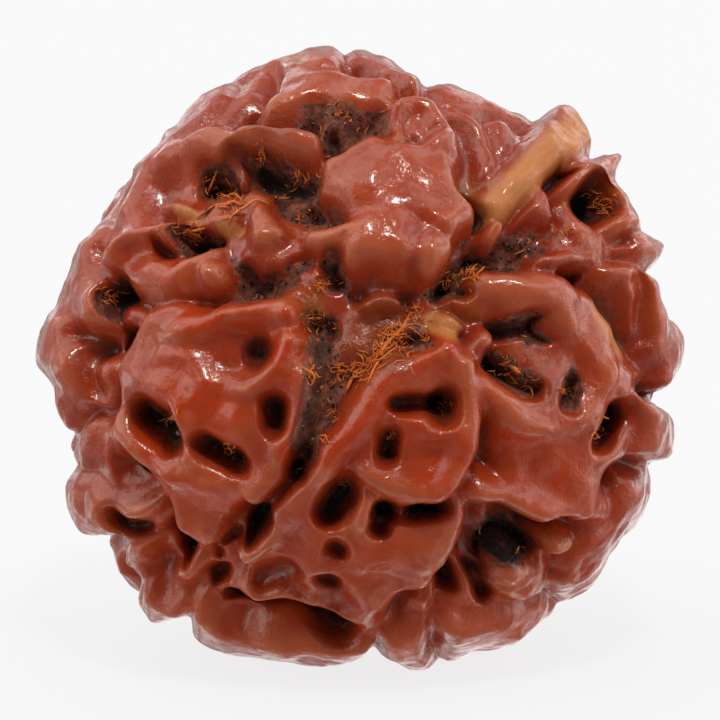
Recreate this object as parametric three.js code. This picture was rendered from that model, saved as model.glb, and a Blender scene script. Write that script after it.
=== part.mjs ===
// A rudraksha seed: one grown body of folded lobes, with deep pits and grooves that run from pole to pole.
// Its forms are laid out in the front view, looking into the mouth: x to the right, y up, z out of the
// mouth. Each form raises or sinks the radius of the surface, which is then stood up on its flat spot.

import * as THREE from 'three';
import { mergeVertices } from 'three/addons/utils/BufferGeometryUtils.js';

// Driving dimensions, in millimetres and degrees
const SEED_WIDTH = 25.6; // from side to side
const DEPTH_SHARE = 0.87; // depth along the mouth's axis, as a share of the width
const MOUTH_TILT = 15; // how far the mouth faces up from level
const REST_SHARE = 0.9; // distance from the seed's middle down to its flat spot, as a share of half its width

// Levels of the relief, in millimetres
const MAP_RADIUS = 12; // radius at which widths on the surface are measured
const WALL_SHARE = 0.55; // how far down its wall a lobe's drawn outline runs
const PIT_RADIUS = 12.3; // radius at which pits are drawn
const PIT_SHARE = 0.1; // how much lower deep pits are drawn, as a share of their depth
const SIDE_START = 9; // distance from the mouth's axis where the seed's side begins
const SIDE_END = 12.5; // and where it is fully there
const SIDE_GROWTH = 1.2; // how much higher pits are drawn at the side
const CORE_RADIUS = 10.7; // floor of the valleys round the two poles
const SIDE_LIFT = 0.9; // how much higher that floor lies round the sides
const DEEPEST_RADIUS = 9.3; // bottom of the deepest pits
const RIM_POWER = 0.6; // how slowly the limit set by the front outline opens towards the poles
const RIM_START = 0.15; // that limit is the outline itself up to this cosine from the mouth's axis
const RIM_END = 0.42; // and an evened outline from this one on
const RIM_EVENING = 0.4; // how far to either side the outline is evened, in radians
const RIM_YIELD = 0.15; // share of the height over the limit that stays there
const LEAN_SHARE = 0.75; // how far pits run along the mouth's axis and not towards the seed's middle
const LEAN_START = 0.15; // they begin to do so at this cosine from that axis
const LEAN_END = 0.5; // and do so fully at this one
const FRONT_WALL = 1.9; // height of a lobe's rounded edge where it faces the front
const SIDE_WALL = 1.1; // the same round the sides
const SWELL = 0.55; // how much higher a lobe's middle is than the ground inside its edge
const SWELL_REACH = 3.2; // how far in from the edge that swelling goes, in edge widths
const RIDGE_FALL = 0.95; // how far a ridge falls within its half width, as a share of it
const SWELLING_HEIGHT = 0.13; // height of the low swellings all over
const LOBE_BLEND = 0.35;
const RIDGE_BLEND = 0.7;
const OUTLINE_BLEND = 0.4;

// Facets: every edge of the starting icosahedron is split into DETAIL + 1 parts
const DETAIL = 23;
const FINEST = 0.65; // narrowest half width that facets of this size can carry
const PIT_DEEPENING = 1.15; // pits are cut deeper by this, because the facets round them off
const SAMPLE_REACH = 0.3; // how far round each corner the relief is averaged
const SAMPLE_COUNT = 6;
const SMOOTHING_PASSES = 1;

// Lobes of the front face: radius of the crest, width of the rounded edge and outline
const LOBES = [
  {
    name: 'crust floor', crest: 11.2, edge: 0.8,
    outline: [
      [-5.2, 2.6], [-5.2, 4], [-4.6, 4.8], [-3, 5], [-2, 4.8], [-0.8, 4.4], [-0.4, 2.8], [-1.6, 2.1],
      [-2.8, 1.8], [-4.2, 2],
    ],
  },
  {
    name: 'mouth floor', crest: 11.1, edge: 0.9,
    outline: [
      [-0.8, 2.2], [0.4, 2.5], [1.6, 2.3], [2.2, 1.6], [2.4, 0.9], [1.6, 0], [0.6, -0.6], [-0.5, -0.9],
      [-1.6, -1.6], [-2.2, -0.8], [-1.7, 0.4], [-1.2, 1.4],
    ],
  },
  {
    name: 'fibre floor', crest: 11.1, edge: 0.8,
    outline: [
      [-7.9, 6.6], [-7.9, 5.4], [-7, 4.7], [-5.6, 4.8], [-4.4, 5], [-3.9, 6.2], [-4.4, 7.4], [-5.4, 7.2],
      [-6.6, 6.7],
    ],
  },
  {
    name: 'crust shelf', crest: 11.3, edge: 0.6,
    outline: [[-3.2, 6.6], [-2.2, 7], [-1.5, 6.6], [-0.8, 5.7], [-2.2, 5.2], [-3.1, 5.4]],
  },
  {
    name: 'fork floor', crest: 11, edge: 0.7,
    outline: [[4.2, 5.4], [5.2, 5.5], [7.4, 5.2], [7.6, 4], [6, 3.2], [4.4, 3.2], [3.8, 4]],
  },
  {
    name: 'lower right ground', crest: 12, edge: 0.8,
    outline: [
      [4.3, -6], [5.6, -6], [6.9, -6.2], [8.2, -6.4], [9.2, -6.8], [8.6, -8], [7.9, -9.6], [6.6, -10.2],
      [5, -10.5], [3.1, -10.6], [2.9, -9.6], [3.1, -8.7], [3.8, -8], [4.1, -7.2],
    ],
  },
  {
    name: 'left lobe', crest: 12.4, edge: 1.15,
    outline: [
      [-8.4, 2.1], [-8.95, 1.1], [-9.3, 0.4], [-9.4, -0.6], [-9.25, -1.6], [-9.8, -2.3], [-9.95, -3.1],
      [-9.5, -3.8], [-8.7, -4.6], [-7.9, -5], [-7.35, -5.6], [-7.3, -6.4], [-6.7, -7], [-6, -7.6],
      [-5.5, -7.8], [-5.2, -7.2], [-4.9, -6.4], [-4.2, -5.8], [-3.4, -5.2], [-2.8, -4.4], [-2.45, -3.4],
      [-2.2, -2.2], [-2, -1.2], [-1.9, -0.2], [-1.9, 0.6], [-2.2, 1.5], [-2.7, 2.1], [-3.4, 2.2],
      [-4.4, 2], [-5.5, 2.2], [-6.5, 2.5], [-7.5, 2.5],
    ],
  },
  {
    name: 'upper left lobe', crest: 12.4, edge: 1,
    outline: [
      [-9.8, 6.7], [-10.35, 5.2], [-10.55, 4.4], [-10.1, 3.5], [-9.5, 2.8], [-9, 2.2], [-8.2, 2],
      [-7.2, 2.1], [-5.8, 2.2], [-5, 2.5], [-5.1, 3.3], [-5.2, 4.2], [-5.4, 4.6], [-6, 4.5], [-6.7, 4.1],
      [-7.4, 4.5], [-7.7, 5.2], [-8, 5.9], [-7.8, 6.7], [-7.8, 7.4], [-8, 8.2], [-8.5, 8.4], [-9.2, 7.8],
    ],
  },
  {
    name: 'upper left shoulder', crest: 12.25, edge: 0.7,
    outline: [
      [-8.2, 8.1], [-7, 8.8], [-6.2, 9.5], [-5.6, 10.1], [-5.3, 10.6], [-5, 11.2], [-4, 12], [-3, 12.3],
      [-3.1, 11.6], [-3.5, 11], [-3.6, 10.5], [-4.3, 9.9], [-4.5, 9.2], [-4.5, 8.5], [-5.4, 8.3],
      [-6.6, 8.3],
    ],
  },
  {
    name: 'rear left shoulder', crest: 12.85, edge: 0.7,
    outline: [
      [-9.2, 7.8], [-8.1, 8.5], [-7, 9], [-6.3, 9.6], [-5.7, 10.2], [-5.2, 11.2], [-5.6, 12.4],
      [-8, 11.4], [-10.2, 8.8],
    ],
  },
  {
    name: 'crown', crest: 12.7, edge: 0.9,
    outline: [
      [-4.62, 8.85], [-4.6, 9.6], [-4.3, 10], [-3.7, 10.5], [-3.65, 11], [-3.6, 11.4], [-3.2, 11.8],
      [-2.4, 12.1], [-1.3, 11.95], [-0.5, 11.75], [0.6, 11.5], [1.2, 11.5], [1.75, 11.1], [1.97, 10.6],
      [1.6, 10.1], [1.5, 9.4], [1.4, 8.9], [0.8, 9.1], [0.1, 8.9], [-0.5, 8.5], [-1.2, 8.2], [-1.7, 8.5],
      [-1.75, 8.9], [-2.1, 9.2], [-3.2, 9.2], [-4.2, 8.8],
    ],
  },
  {
    name: 'crown rear', crest: 13.1, edge: 0.5,
    outline: [
      [-3.2, 12], [-2.2, 12.1], [-1, 12.1], [-0.6, 12], [-0.8, 13.2], [-2.6, 13.4], [-3.8, 12.8],
    ],
  },
  {
    name: 'crown rear knob', crest: 12.8, edge: 0.5,
    outline: [
      [-0.55, 12.1], [-0.1, 12.2], [0.6, 12], [0.8, 11.5], [1.3, 11.6], [1.9, 11], [2.6, 10.8],
      [2.6, 12.2], [0.8, 13.4], [-0.8, 13.2],
    ],
  },
  {
    name: 'top right rear', crest: 12.2, edge: 0.8,
    outline: [
      [2, 10.6], [2.6, 10.4], [3.2, 9.9], [4, 9.7], [4.6, 9.5], [5.3, 9.85], [6, 9.5], [6.9, 9.2],
      [7.4, 9.4], [7.2, 10.6], [5, 11.8], [2.9, 12.4], [2.7, 11.4],
    ],
  },
  {
    name: 'band root lobe', crest: 12.15, edge: 0.8,
    outline: [
      [3, 9.9], [4.1, 9.7], [4.7, 9.2], [4.95, 8.8], [5.2, 8.2], [5.6, 7.6], [5.3, 6.9], [4.9, 6.5],
      [4.3, 7], [4.1, 8], [3.7, 8.9], [3.1, 9.2],
    ],
  },
  {
    name: 'band shoulder', crest: 12.3, edge: 0.7,
    outline: [
      [4.6, 9.45], [5.4, 9.85], [5.85, 9.6], [6.3, 9.4], [7, 9.1], [7.2, 8.8], [6.3, 8.1], [5.6, 7.7],
      [5.1, 8.1], [4.8, 8.9],
    ],
  },
  {
    name: 'horn', crest: 13.4, edge: 0.6,
    outline: [
      [7.1, 9.2], [7.4, 9.9], [7.9, 10.8], [8.9, 10.6], [9.7, 9.5], [9.7, 8.6], [9.1, 8.1], [8.7, 8.4],
      [8.3, 9], [7.8, 9.3],
    ],
  },
  {
    name: 'spike lobe', crest: 12.5, edge: 0.45,
    outline: [
      [6.5, 6.55], [6.9, 6.75], [7.2, 6.6], [7.4, 6.1], [7.45, 5.4], [7.5, 4.8], [7.1, 4.9], [6.6, 5.2],
      [6.1, 5.1], [6, 5.5], [6.3, 6],
    ],
  },
  {
    name: 'plate fin', crest: 12.45, edge: 0.8,
    outline: [
      [7.35, 6.8], [8, 7.1], [8.6, 7.15], [8.9, 6.8], [8.8, 6.2], [9.1, 5.85], [9.6, 5.65], [10.3, 5.6],
      [10.8, 5.3], [10.9, 4.7], [11.2, 4.2], [11.6, 3.6], [11.6, 2.8], [11.2, 3.1], [10.6, 3.5],
      [9.8, 3.5], [9.3, 3.2], [8.9, 2.9], [8.2, 3.3], [7.4, 3.7], [7.3, 4.6], [7.4, 5.6],
    ],
  },
  {
    name: 'tooth', crest: 13.9, edge: 0.6,
    outline: [
      [8.7, 7.6], [9.3, 8.4], [9.9, 9.2], [11.2, 9.2], [11, 7.4], [11.6, 6.6], [12, 5.8], [11.3, 5.2],
      [10.6, 5.5], [10.35, 6.2], [10.3, 6.9], [10, 7.4], [9.5, 7.4], [9.1, 7.2],
    ],
  },
  {
    name: 'side knob', crest: 13.55, edge: 0.6,
    outline: [
      [10.9, 5.1], [11.3, 5.5], [12.1, 5.4], [12.9, 4.6], [12.5, 3.9], [11.7, 3.9], [11.2, 4.3],
      [10.9, 4.6],
    ],
  },
  {
    name: 'right rear limb', crest: 13.35, edge: 0.7,
    outline: [
      [11.3, 4], [12.2, 3.8], [12.6, 2.8], [13.3, 1.4], [13.7, 0.2], [13.2, -1.2], [12.4, -1.3],
      [12.4, -0.4], [11.8, 0.6], [11.75, 1.5], [11.4, 2.6],
    ],
  },
  {
    name: 'scooped fin', crest: 12.55, edge: 0.5,
    outline: [
      [9.3, 3.4], [10, 3.6], [10.7, 3.6], [11.15, 3.25], [11.45, 2.7], [11.75, 1.6], [11.7, 0.9],
      [12.1, 0.3], [12.45, -0.2], [12.3, -0.9], [11.9, -1.3], [11.5, -1.1], [11.1, -0.1], [10.2, 1],
      [9.5, 2], [9.2, 2.7],
    ],
  },
  {
    name: 'right lobe', crest: 12.5, edge: 1.05,
    outline: [
      [4.9, 3.1], [5.8, 3.4], [6.6, 3.5], [7.4, 3.6], [8.1, 3.2], [8.8, 2.7], [9.3, 2.1], [9.8, 1.7],
      [10.2, 1.1], [10.8, 0.5], [11.3, -0.1], [11.6, -0.8], [11.45, -1.5], [11.6, -2.2], [11.75, -2.9],
      [11.5, -3.5], [11.1, -3.8], [10.6, -4.3], [10.1, -4.6], [9.95, -5], [10.3, -5.6], [10.1, -6.2],
      [9.5, -6.6], [8.9, -6.9], [8.5, -6.45], [7.9, -6.45], [7.4, -6.65], [7, -6.3], [6.4, -5.95],
      [5.5, -5.95], [4.8, -5.8], [4.8, -5], [5, -4], [4.95, -3], [4.9, -2], [4.8, -1], [5.1, -0.4],
      [5.3, 0.6], [5.2, 1.5], [4.8, 2.1], [4.6, 2.7],
    ],
  },
  {
    name: 'middle lower lobe', crest: 12.2, edge: 0.9,
    outline: [
      [-1.5, -3.8], [-2.2, -4.5], [-2.8, -5.2], [-3.2, -6], [-3.8, -7], [-4.7, -7.8], [-5.4, -8.05],
      [-6, -8.2], [-6.3, -8.6], [-5.9, -9.2], [-5.9, -10], [-5.9, -10.45], [-5.3, -10.2], [-4.9, -9.9],
      [-4.4, -10], [-4, -10.25], [-3.75, -9.9], [-3.4, -9.6], [-3, -9.5], [-2.6, -9.8], [-2.1, -10.1],
      [-1.3, -10.5], [-0.4, -10.9], [0.4, -11.15], [1.1, -11.1], [1.3, -10.3], [1.6, -9.4], [1.9, -9],
      [2.6, -8.6], [3.3, -8], [3.7, -7.5], [4.1, -6.9], [4.3, -6.2], [4.3, -5.2], [3.6, -4.8], [2, -4.6],
      [0.4, -4.2], [-0.6, -3.6],
    ],
  },
  {
    name: 'heart lobe', crest: 12.5, edge: 1,
    outline: [
      [3.8, 0.75], [4.4, -0.4], [4.65, -1.6], [4.8, -3.1], [4.4, -4.4], [3.6, -5.4], [2.7, -5.9],
      [1.7, -5.8], [0.7, -5.3], [-0.1, -4.7], [-0.8, -4.4], [-1.4, -4.1], [-1.7, -3.9], [-0.9, -3.3],
      [-0.3, -2.7], [0.4, -1.7], [1.4, -0.7], [2.6, 0],
    ],
  },
  {
    name: 'flap', crest: 12.15, edge: 0.5,
    outline: [
      [1.8, -9.1], [2.4, -8.7], [2.9, -8.7], [3, -9.5], [2.95, -10.2], [2.4, -10.6], [1.6, -11.05],
      [1, -11.2], [0.9, -10.6], [1.4, -9.8],
    ],
  },
  {
    name: 'bottom lobe', crest: 13.1, edge: 0.7,
    outline: [
      [-7.1, -9.9], [-7.2, -10.8], [-7.2, -11.8], [-7.2, -12.8], [-4.5, -13.2], [-2, -13.8], [0.2, -13.4],
      [0.6, -11.9], [0.5, -11.5], [-0.4, -11.4], [-1.5, -11.3], [-2.8, -11.3], [-4, -11.2], [-5, -11.2],
      [-5.8, -10.8], [-6.2, -10.3], [-6.5, -9.9],
    ],
  },
  {
    name: 'bottom rear lobe', crest: 13.05, edge: 0.7,
    outline: [
      [0.8, -11.2], [1.6, -11.1], [2.6, -10.7], [3, -10.9], [3.1, -11.9], [3.4, -13], [2.6, -14.2],
      [1.2, -14], [0.8, -12.4],
    ],
  },
  {
    name: 'lower right foot', crest: 12.95, edge: 0.8,
    outline: [
      [3, -10.6], [3.6, -10.3], [4.4, -10.5], [5.2, -10.3], [6.2, -10.1], [7.2, -10], [7.9, -9.7],
      [8.6, -10.6], [7.2, -12.4], [5.4, -13.6], [3.4, -13.8], [3.1, -12.2], [3, -11.4],
    ],
  },
  {
    name: 'knob lobe', crest: 12.8, edge: 0.7,
    outline: [
      [5.15, -9.5], [5.2, -9.1], [5.6, -8.8], [5.6, -8.3], [6.1, -8.05], [6.6, -8.1], [7.2, -7.9],
      [7.9, -8.1], [7.95, -8.8], [7.9, -9.4], [7.4, -9.8], [6.8, -10.1], [6, -9.95], [5.5, -9.9],
    ],
  },
  {
    name: 'lower tongue', crest: 12.95, edge: 0.45,
    outline: [
      [7.05, -7.4], [7.3, -7.05], [8, -6.95], [8.8, -7], [9, -7.3], [8.6, -7.7], [8, -7.9], [7.3, -7.8],
    ],
  },
  {
    name: 'long limb lobe', crest: 13.1, edge: 0.8,
    outline: [
      [11.6, -4.4], [11, -4.8], [10.5, -5.6], [10.2, -6.3], [9.6, -6.8], [9, -7.4], [8.6, -8], [8, -8.6],
      [7.9, -9.4], [8.2, -10.2], [9.6, -11], [11.6, -9.4], [13, -7], [13.2, -5], [12.4, -4.3],
    ],
  },
  {
    name: 'limb knob', crest: 13.4, edge: 0.6,
    outline: [
      [11.3, -1.6], [12.1, -1.4], [13.2, -2.2], [13.6, -3.4], [12.9, -4.5], [11.7, -4.3], [11.3, -3.8],
      [11.75, -3], [11.5, -2.2],
    ],
  },
  {
    name: 'left limb lobe', crest: 12.7, edge: 0.8,
    outline: [
      [-12.3, 1], [-12.6, 2], [-12.6, 3.6], [-12, 5.2], [-11, 6.2], [-10.2, 5.6], [-10.5, 4.4],
      [-10.1, 3.6], [-9.5, 2.8], [-8.9, 2.2], [-8.7, 1.7], [-9.2, 1.2], [-10.2, 1.2], [-10.9, 0.9],
      [-11.4, 0.9],
    ],
  },
  {
    name: 'left lower limb lobe', crest: 12.8, edge: 0.6,
    outline: [
      [-11.9, 0.85], [-11.2, 0.7], [-10.9, 0.1], [-10.8, -0.6], [-11, -1.6], [-11.3, -2.3], [-11.7, -3.1],
      [-12.8, -2.8], [-13.2, -1.4], [-12.6, 0.2],
    ],
  },
  {
    name: 'far left rear lobe', crest: 13.45, edge: 0.6,
    outline: [
      [-12.4, 1.9], [-12.35, 1], [-12, 0.3], [-11.9, -0.3], [-12.1, -0.9], [-12.6, -1.2], [-13.6, -0.8],
      [-14.2, 0.6], [-13.6, 2.2],
    ],
  },
  {
    name: 'knuckle', crest: 12.3, edge: 0.6,
    outline: [
      [-10.2, 0.35], [-9.6, 0.3], [-9.3, -0.2], [-9.2, -1.2], [-9.5, -1.8], [-10, -2.1], [-10.6, -2.1],
      [-11, -1.9], [-10.9, -1.2], [-10.65, -0.4],
    ],
  },
  {
    name: 'lower left lobe', crest: 12.25, edge: 0.75,
    outline: [
      [-10.7, -2], [-10, -2], [-9.3, -1.9], [-8.8, -2.2], [-9.2, -3.4], [-8.6, -4.6], [-8.2, -5],
      [-8.6, -5.65], [-9.4, -5.7], [-10.2, -5.5], [-10.8, -5.1], [-11.35, -4.7], [-11.7, -4],
      [-11.7, -3.2], [-11.4, -2.5],
    ],
  },
  {
    name: 'lower left limb lobe', crest: 13.2, edge: 0.7,
    outline: [
      [-11.4, -4.7], [-10.7, -5.2], [-10, -5.55], [-9.2, -5.75], [-8.6, -5.7], [-8.1, -5.4], [-8.3, -6.2],
      [-8.6, -6.9], [-9, -7.5], [-9.8, -7.5], [-10.8, -7.6], [-12.4, -8.2], [-13.6, -6.6], [-12.8, -4.8],
    ],
  },
  {
    name: 'lower left fold', crest: 12.35, edge: 0.6,
    outline: [
      [-10, -7.3], [-9.3, -7.3], [-8.9, -7], [-8.4, -6.4], [-8.1, -7], [-8.2, -7.8], [-8, -8.5],
      [-7.2, -8], [-6.7, -7.8], [-6.3, -8.2], [-6.3, -8.9], [-6.8, -9.6], [-7.3, -10], [-8.2, -9.9],
      [-9, -9.4], [-9.9, -9.2], [-11.2, -9], [-11, -7.8],
    ],
  },
  {
    name: 'lower left rear bump', crest: 13.4, edge: 0.6,
    outline: [
      [-9, -9.35], [-8.2, -9.85], [-7.4, -10], [-7.1, -10.5], [-7.8, -11.8], [-9.2, -11.8], [-10, -10.4],
    ],
  },
  {
    name: 'tongue lobe', crest: 12, edge: 0.7,
    outline: [
      [-4.5, 4.7], [-4.5, 5.4], [-4.25, 6], [-3.9, 6.3], [-3.5, 6.15], [-3.15, 5.6], [-2.8, 5.2],
      [-2.5, 4.7], [-3, 4.25], [-3.5, 3.95], [-3.9, 3.9], [-4.2, 4.2],
    ],
  },
  {
    name: 'central lobe', crest: 12.55, edge: 1.1,
    outline: [
      [-1.75, 7.3], [-1.3, 8], [-0.6, 8.4], [-0.1, 8.8], [0.6, 9.1], [1.2, 8.85], [1.6, 8.45], [2, 8.35],
      [2.4, 8.7], [2.9, 9.2], [3.4, 9.3], [3.9, 9], [4.15, 8.5], [4.3, 8], [4.05, 7.4], [4.05, 6.8],
      [4.25, 6.3], [4.6, 5.8], [4.65, 5.2], [4.2, 4.7], [3.8, 4.3], [3.7, 3.8], [3.3, 3.2], [2.6, 2.8],
      [1.8, 2.4], [1, 2.3], [0.3, 2.4], [-0.2, 3], [-0.7, 3.6], [-0.9, 4.2], [-0.8, 4.9], [-0.9, 5.5],
      [-1.3, 6.1], [-1.8, 6.5],
    ],
  },
  {
    name: 'nose', crest: 13, edge: 0.9,
    outline: [
      [-0.9, 5.1], [-0.2, 5.8], [0.7, 6.1], [1.5, 6.2], [2, 5.8], [2.6, 5.3], [3.4, 4.9], [3.85, 4.4],
      [3.75, 3.7], [3.3, 3.2], [2.6, 2.9], [1.9, 3], [1.2, 3.3], [0.4, 3.3], [-0.2, 3.3], [-0.8, 3.7],
      [-1, 4.4],
    ],
  },
  {
    name: 'amber blob left', crest: 11.9, edge: 0.6,
    outline: [
      [-3.4, 2], [-2.9, 2.7], [-2.5, 3], [-2, 3], [-1.6, 2.6], [-1.65, 2.1], [-2.3, 1.9], [-2.7, 1.6],
    ],
  },
  {
    name: 'amber lump', crest: 11.8, edge: 0.6,
    outline: [
      [2.9, 2.1], [3.2, 2.8], [3.9, 2.8], [4.6, 2.6], [4.9, 2], [4.5, 1.5], [3.9, 1.5], [3.3, 1.8],
    ],
  },
  {
    name: 'amber blob right', crest: 12, edge: 0.55,
    outline: [
      [2.65, 1.4], [2.9, 1.85], [3.4, 2], [3.8, 1.7], [4.15, 1.3], [3.9, 0.9], [3.3, 0.8], [2.8, 0.95],
    ],
  },
  {
    name: 'small tongue', crest: 12.1, edge: 0.5,
    outline: [
      [4, 1], [4.4, 1.4], [4.9, 1.3], [5.25, 0.7], [5.1, 0], [4.6, -0.4], [4.1, -0.2], [3.9, 0.4],
    ],
  },
];

// Ridges: half width, and the crest line as x, y and radius
const RIDGES = [
  {
    name: 'speckled ridge', half: 0.8,
    line: [
      [-8.4, 8, 12.3], [-7.5, 8.5, 12.55], [-6.5, 8.85, 12.6], [-5.5, 8.85, 12.5], [-4.7, 8.7, 12.5],
    ],
  },
  {
    name: 'left rim fold', half: 0.55,
    line: [
      [-8.6, -0.9, 12.4], [-7.8, -1.1, 12.6], [-7.2, -2, 12.65], [-6.8, -3, 12.6], [-6.5, -4.2, 12.5],
    ],
  },
  {
    name: 'left lower rim', half: 0.55,
    line: [[-9.5, -2.8, 12.5], [-8.6, -3.7, 12.6], [-7.4, -4.5, 12.6], [-6.2, -4.9, 12.5]],
  },
  {
    name: 'bowl rim', half: 0.45,
    line: [
      [-7.9, 0.2, 12.45], [-6.6, 0, 12.6], [-5.9, -0.7, 12.65], [-4.9, -1.1, 12.65], [-3.9, -0.9, 12.6],
      [-3.2, -0.2, 12.6], [-2.9, 0.7, 12.6],
    ],
  },
  {
    name: 'bowl brow', half: 0.5,
    line: [
      [-7.6, 0.9, 12.45], [-6.4, 1.2, 12.6], [-5.5, 1.75, 12.6], [-4.2, 1.8, 12.55], [-3.1, 1.9, 12.5],
    ],
  },
  {
    name: 'groove bank left', half: 0.6,
    line: [
      [-2.4, -0.6, 12.4], [-2.5, -2, 12.5], [-2.9, -3.2, 12.5], [-3.3, -4.4, 12.45], [-4.3, -5.2, 12.4],
    ],
  },
  {
    name: 'groove bank right', half: 0.65,
    line: [
      [3.4, 0.4, 12.5], [1.9, -0.6, 12.6], [0.6, -1.8, 12.6], [-0.5, -3.1, 12.55], [-1.7, -4.3, 12.5],
      [-2.6, -5.4, 12.4], [-3.3, -6.6, 12.3], [-4.4, -7.8, 12.2],
    ],
  },
  {
    name: 'left arm', half: 0.35,
    line: [[-1.9, 4.85, 12], [-1.3, 4.9, 12.4], [-0.6, 5.2, 12.6], [0.2, 5.5, 12.7]],
  },
  {
    name: 'cup ring', half: 0.42,
    line: [
      [1.6, 9, 12.3], [1.5, 9.8, 12.5], [1.8, 10.3, 12.5], [2.3, 10.45, 12.5], [2.9, 10.2, 12.45],
      [3.15, 9.7, 12.4],
    ],
  },
  {
    name: 'upper ledge', half: 0.4,
    line: [[-10.1, 4.2, 12.5], [-9.3, 4.8, 12.6], [-8.3, 5.1, 12.6], [-7.6, 5.3, 12.5]],
  },
  {
    name: 'right brow', half: 0.7,
    line: [[5.2, 2.9, 12.3], [6.2, 2.9, 12.6], [7.3, 2.9, 12.7], [8.2, 2.5, 12.75], [8.6, 1.8, 12.6]],
  },
  {
    name: 'basin rim', half: 0.55,
    line: [
      [4.9, -1, 12.4], [5.7, -1.7, 12.6], [6.5, -2.5, 12.7], [7.6, -2.75, 12.75], [8.6, -2.4, 12.75],
      [9.5, -1.5, 12.7], [10, -0.5, 12.65],
    ],
  },
  {
    name: 'right hem', half: 0.5,
    line: [[4.9, -5.4, 12.4], [6.2, -5.6, 12.5], [7.4, -6.1, 12.55], [8.6, -6, 12.5], [9.7, -5.9, 12.5]],
  },
  {
    name: 'heart rim', half: 0.5,
    line: [
      [4.2, -0.3, 12.55], [4.3, -1.6, 12.65], [4.3, -3, 12.7], [3.8, -4.4, 12.7], [2.7, -5.3, 12.65],
      [1.4, -5.1, 12.6], [0.3, -4.5, 12.55],
    ],
  },
  {
    name: 'heart shelf', half: 0.5,
    line: [[1.7, -2.5, 12.3], [2.7, -2.8, 12.6], [3.7, -2.6, 12.6]],
  },
  {
    name: 'pit divider', half: 0.4,
    line: [[0, -5.4, 12.2], [0.1, -6.2, 12.35], [0.2, -7, 12.35]],
  },
  {
    name: 'scoop edge', half: 0.35,
    line: [[10, 3.4, 12.6], [10.8, 3.4, 12.7], [11.3, 2.7, 12.75], [11.6, 1.4, 12.75], [12, 0.2, 12.7]],
  },
  {
    name: 'limb seam', half: 0.3,
    line: [[-8.45, -6.6, 12.4], [-8.9, -7.3, 12.5], [-9.2, -8.1, 12.5]],
  },
  {
    name: 'smooth band', half: 0.85,
    line: [[5.4, 6.2, 11.9], [6.2, 7.1, 12.3], [7.2, 8.1, 12.7], [8, 8.9, 13.1], [8.4, 9.3, 13.3]],
  },
  {
    name: 'crown ledge', half: 0.35,
    line: [[-4.5, 8.9, 12.5], [-3.6, 9.15, 12.65], [-2.6, 9.2, 12.65], [-1.8, 8.9, 12.5]],
  },
];

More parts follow.
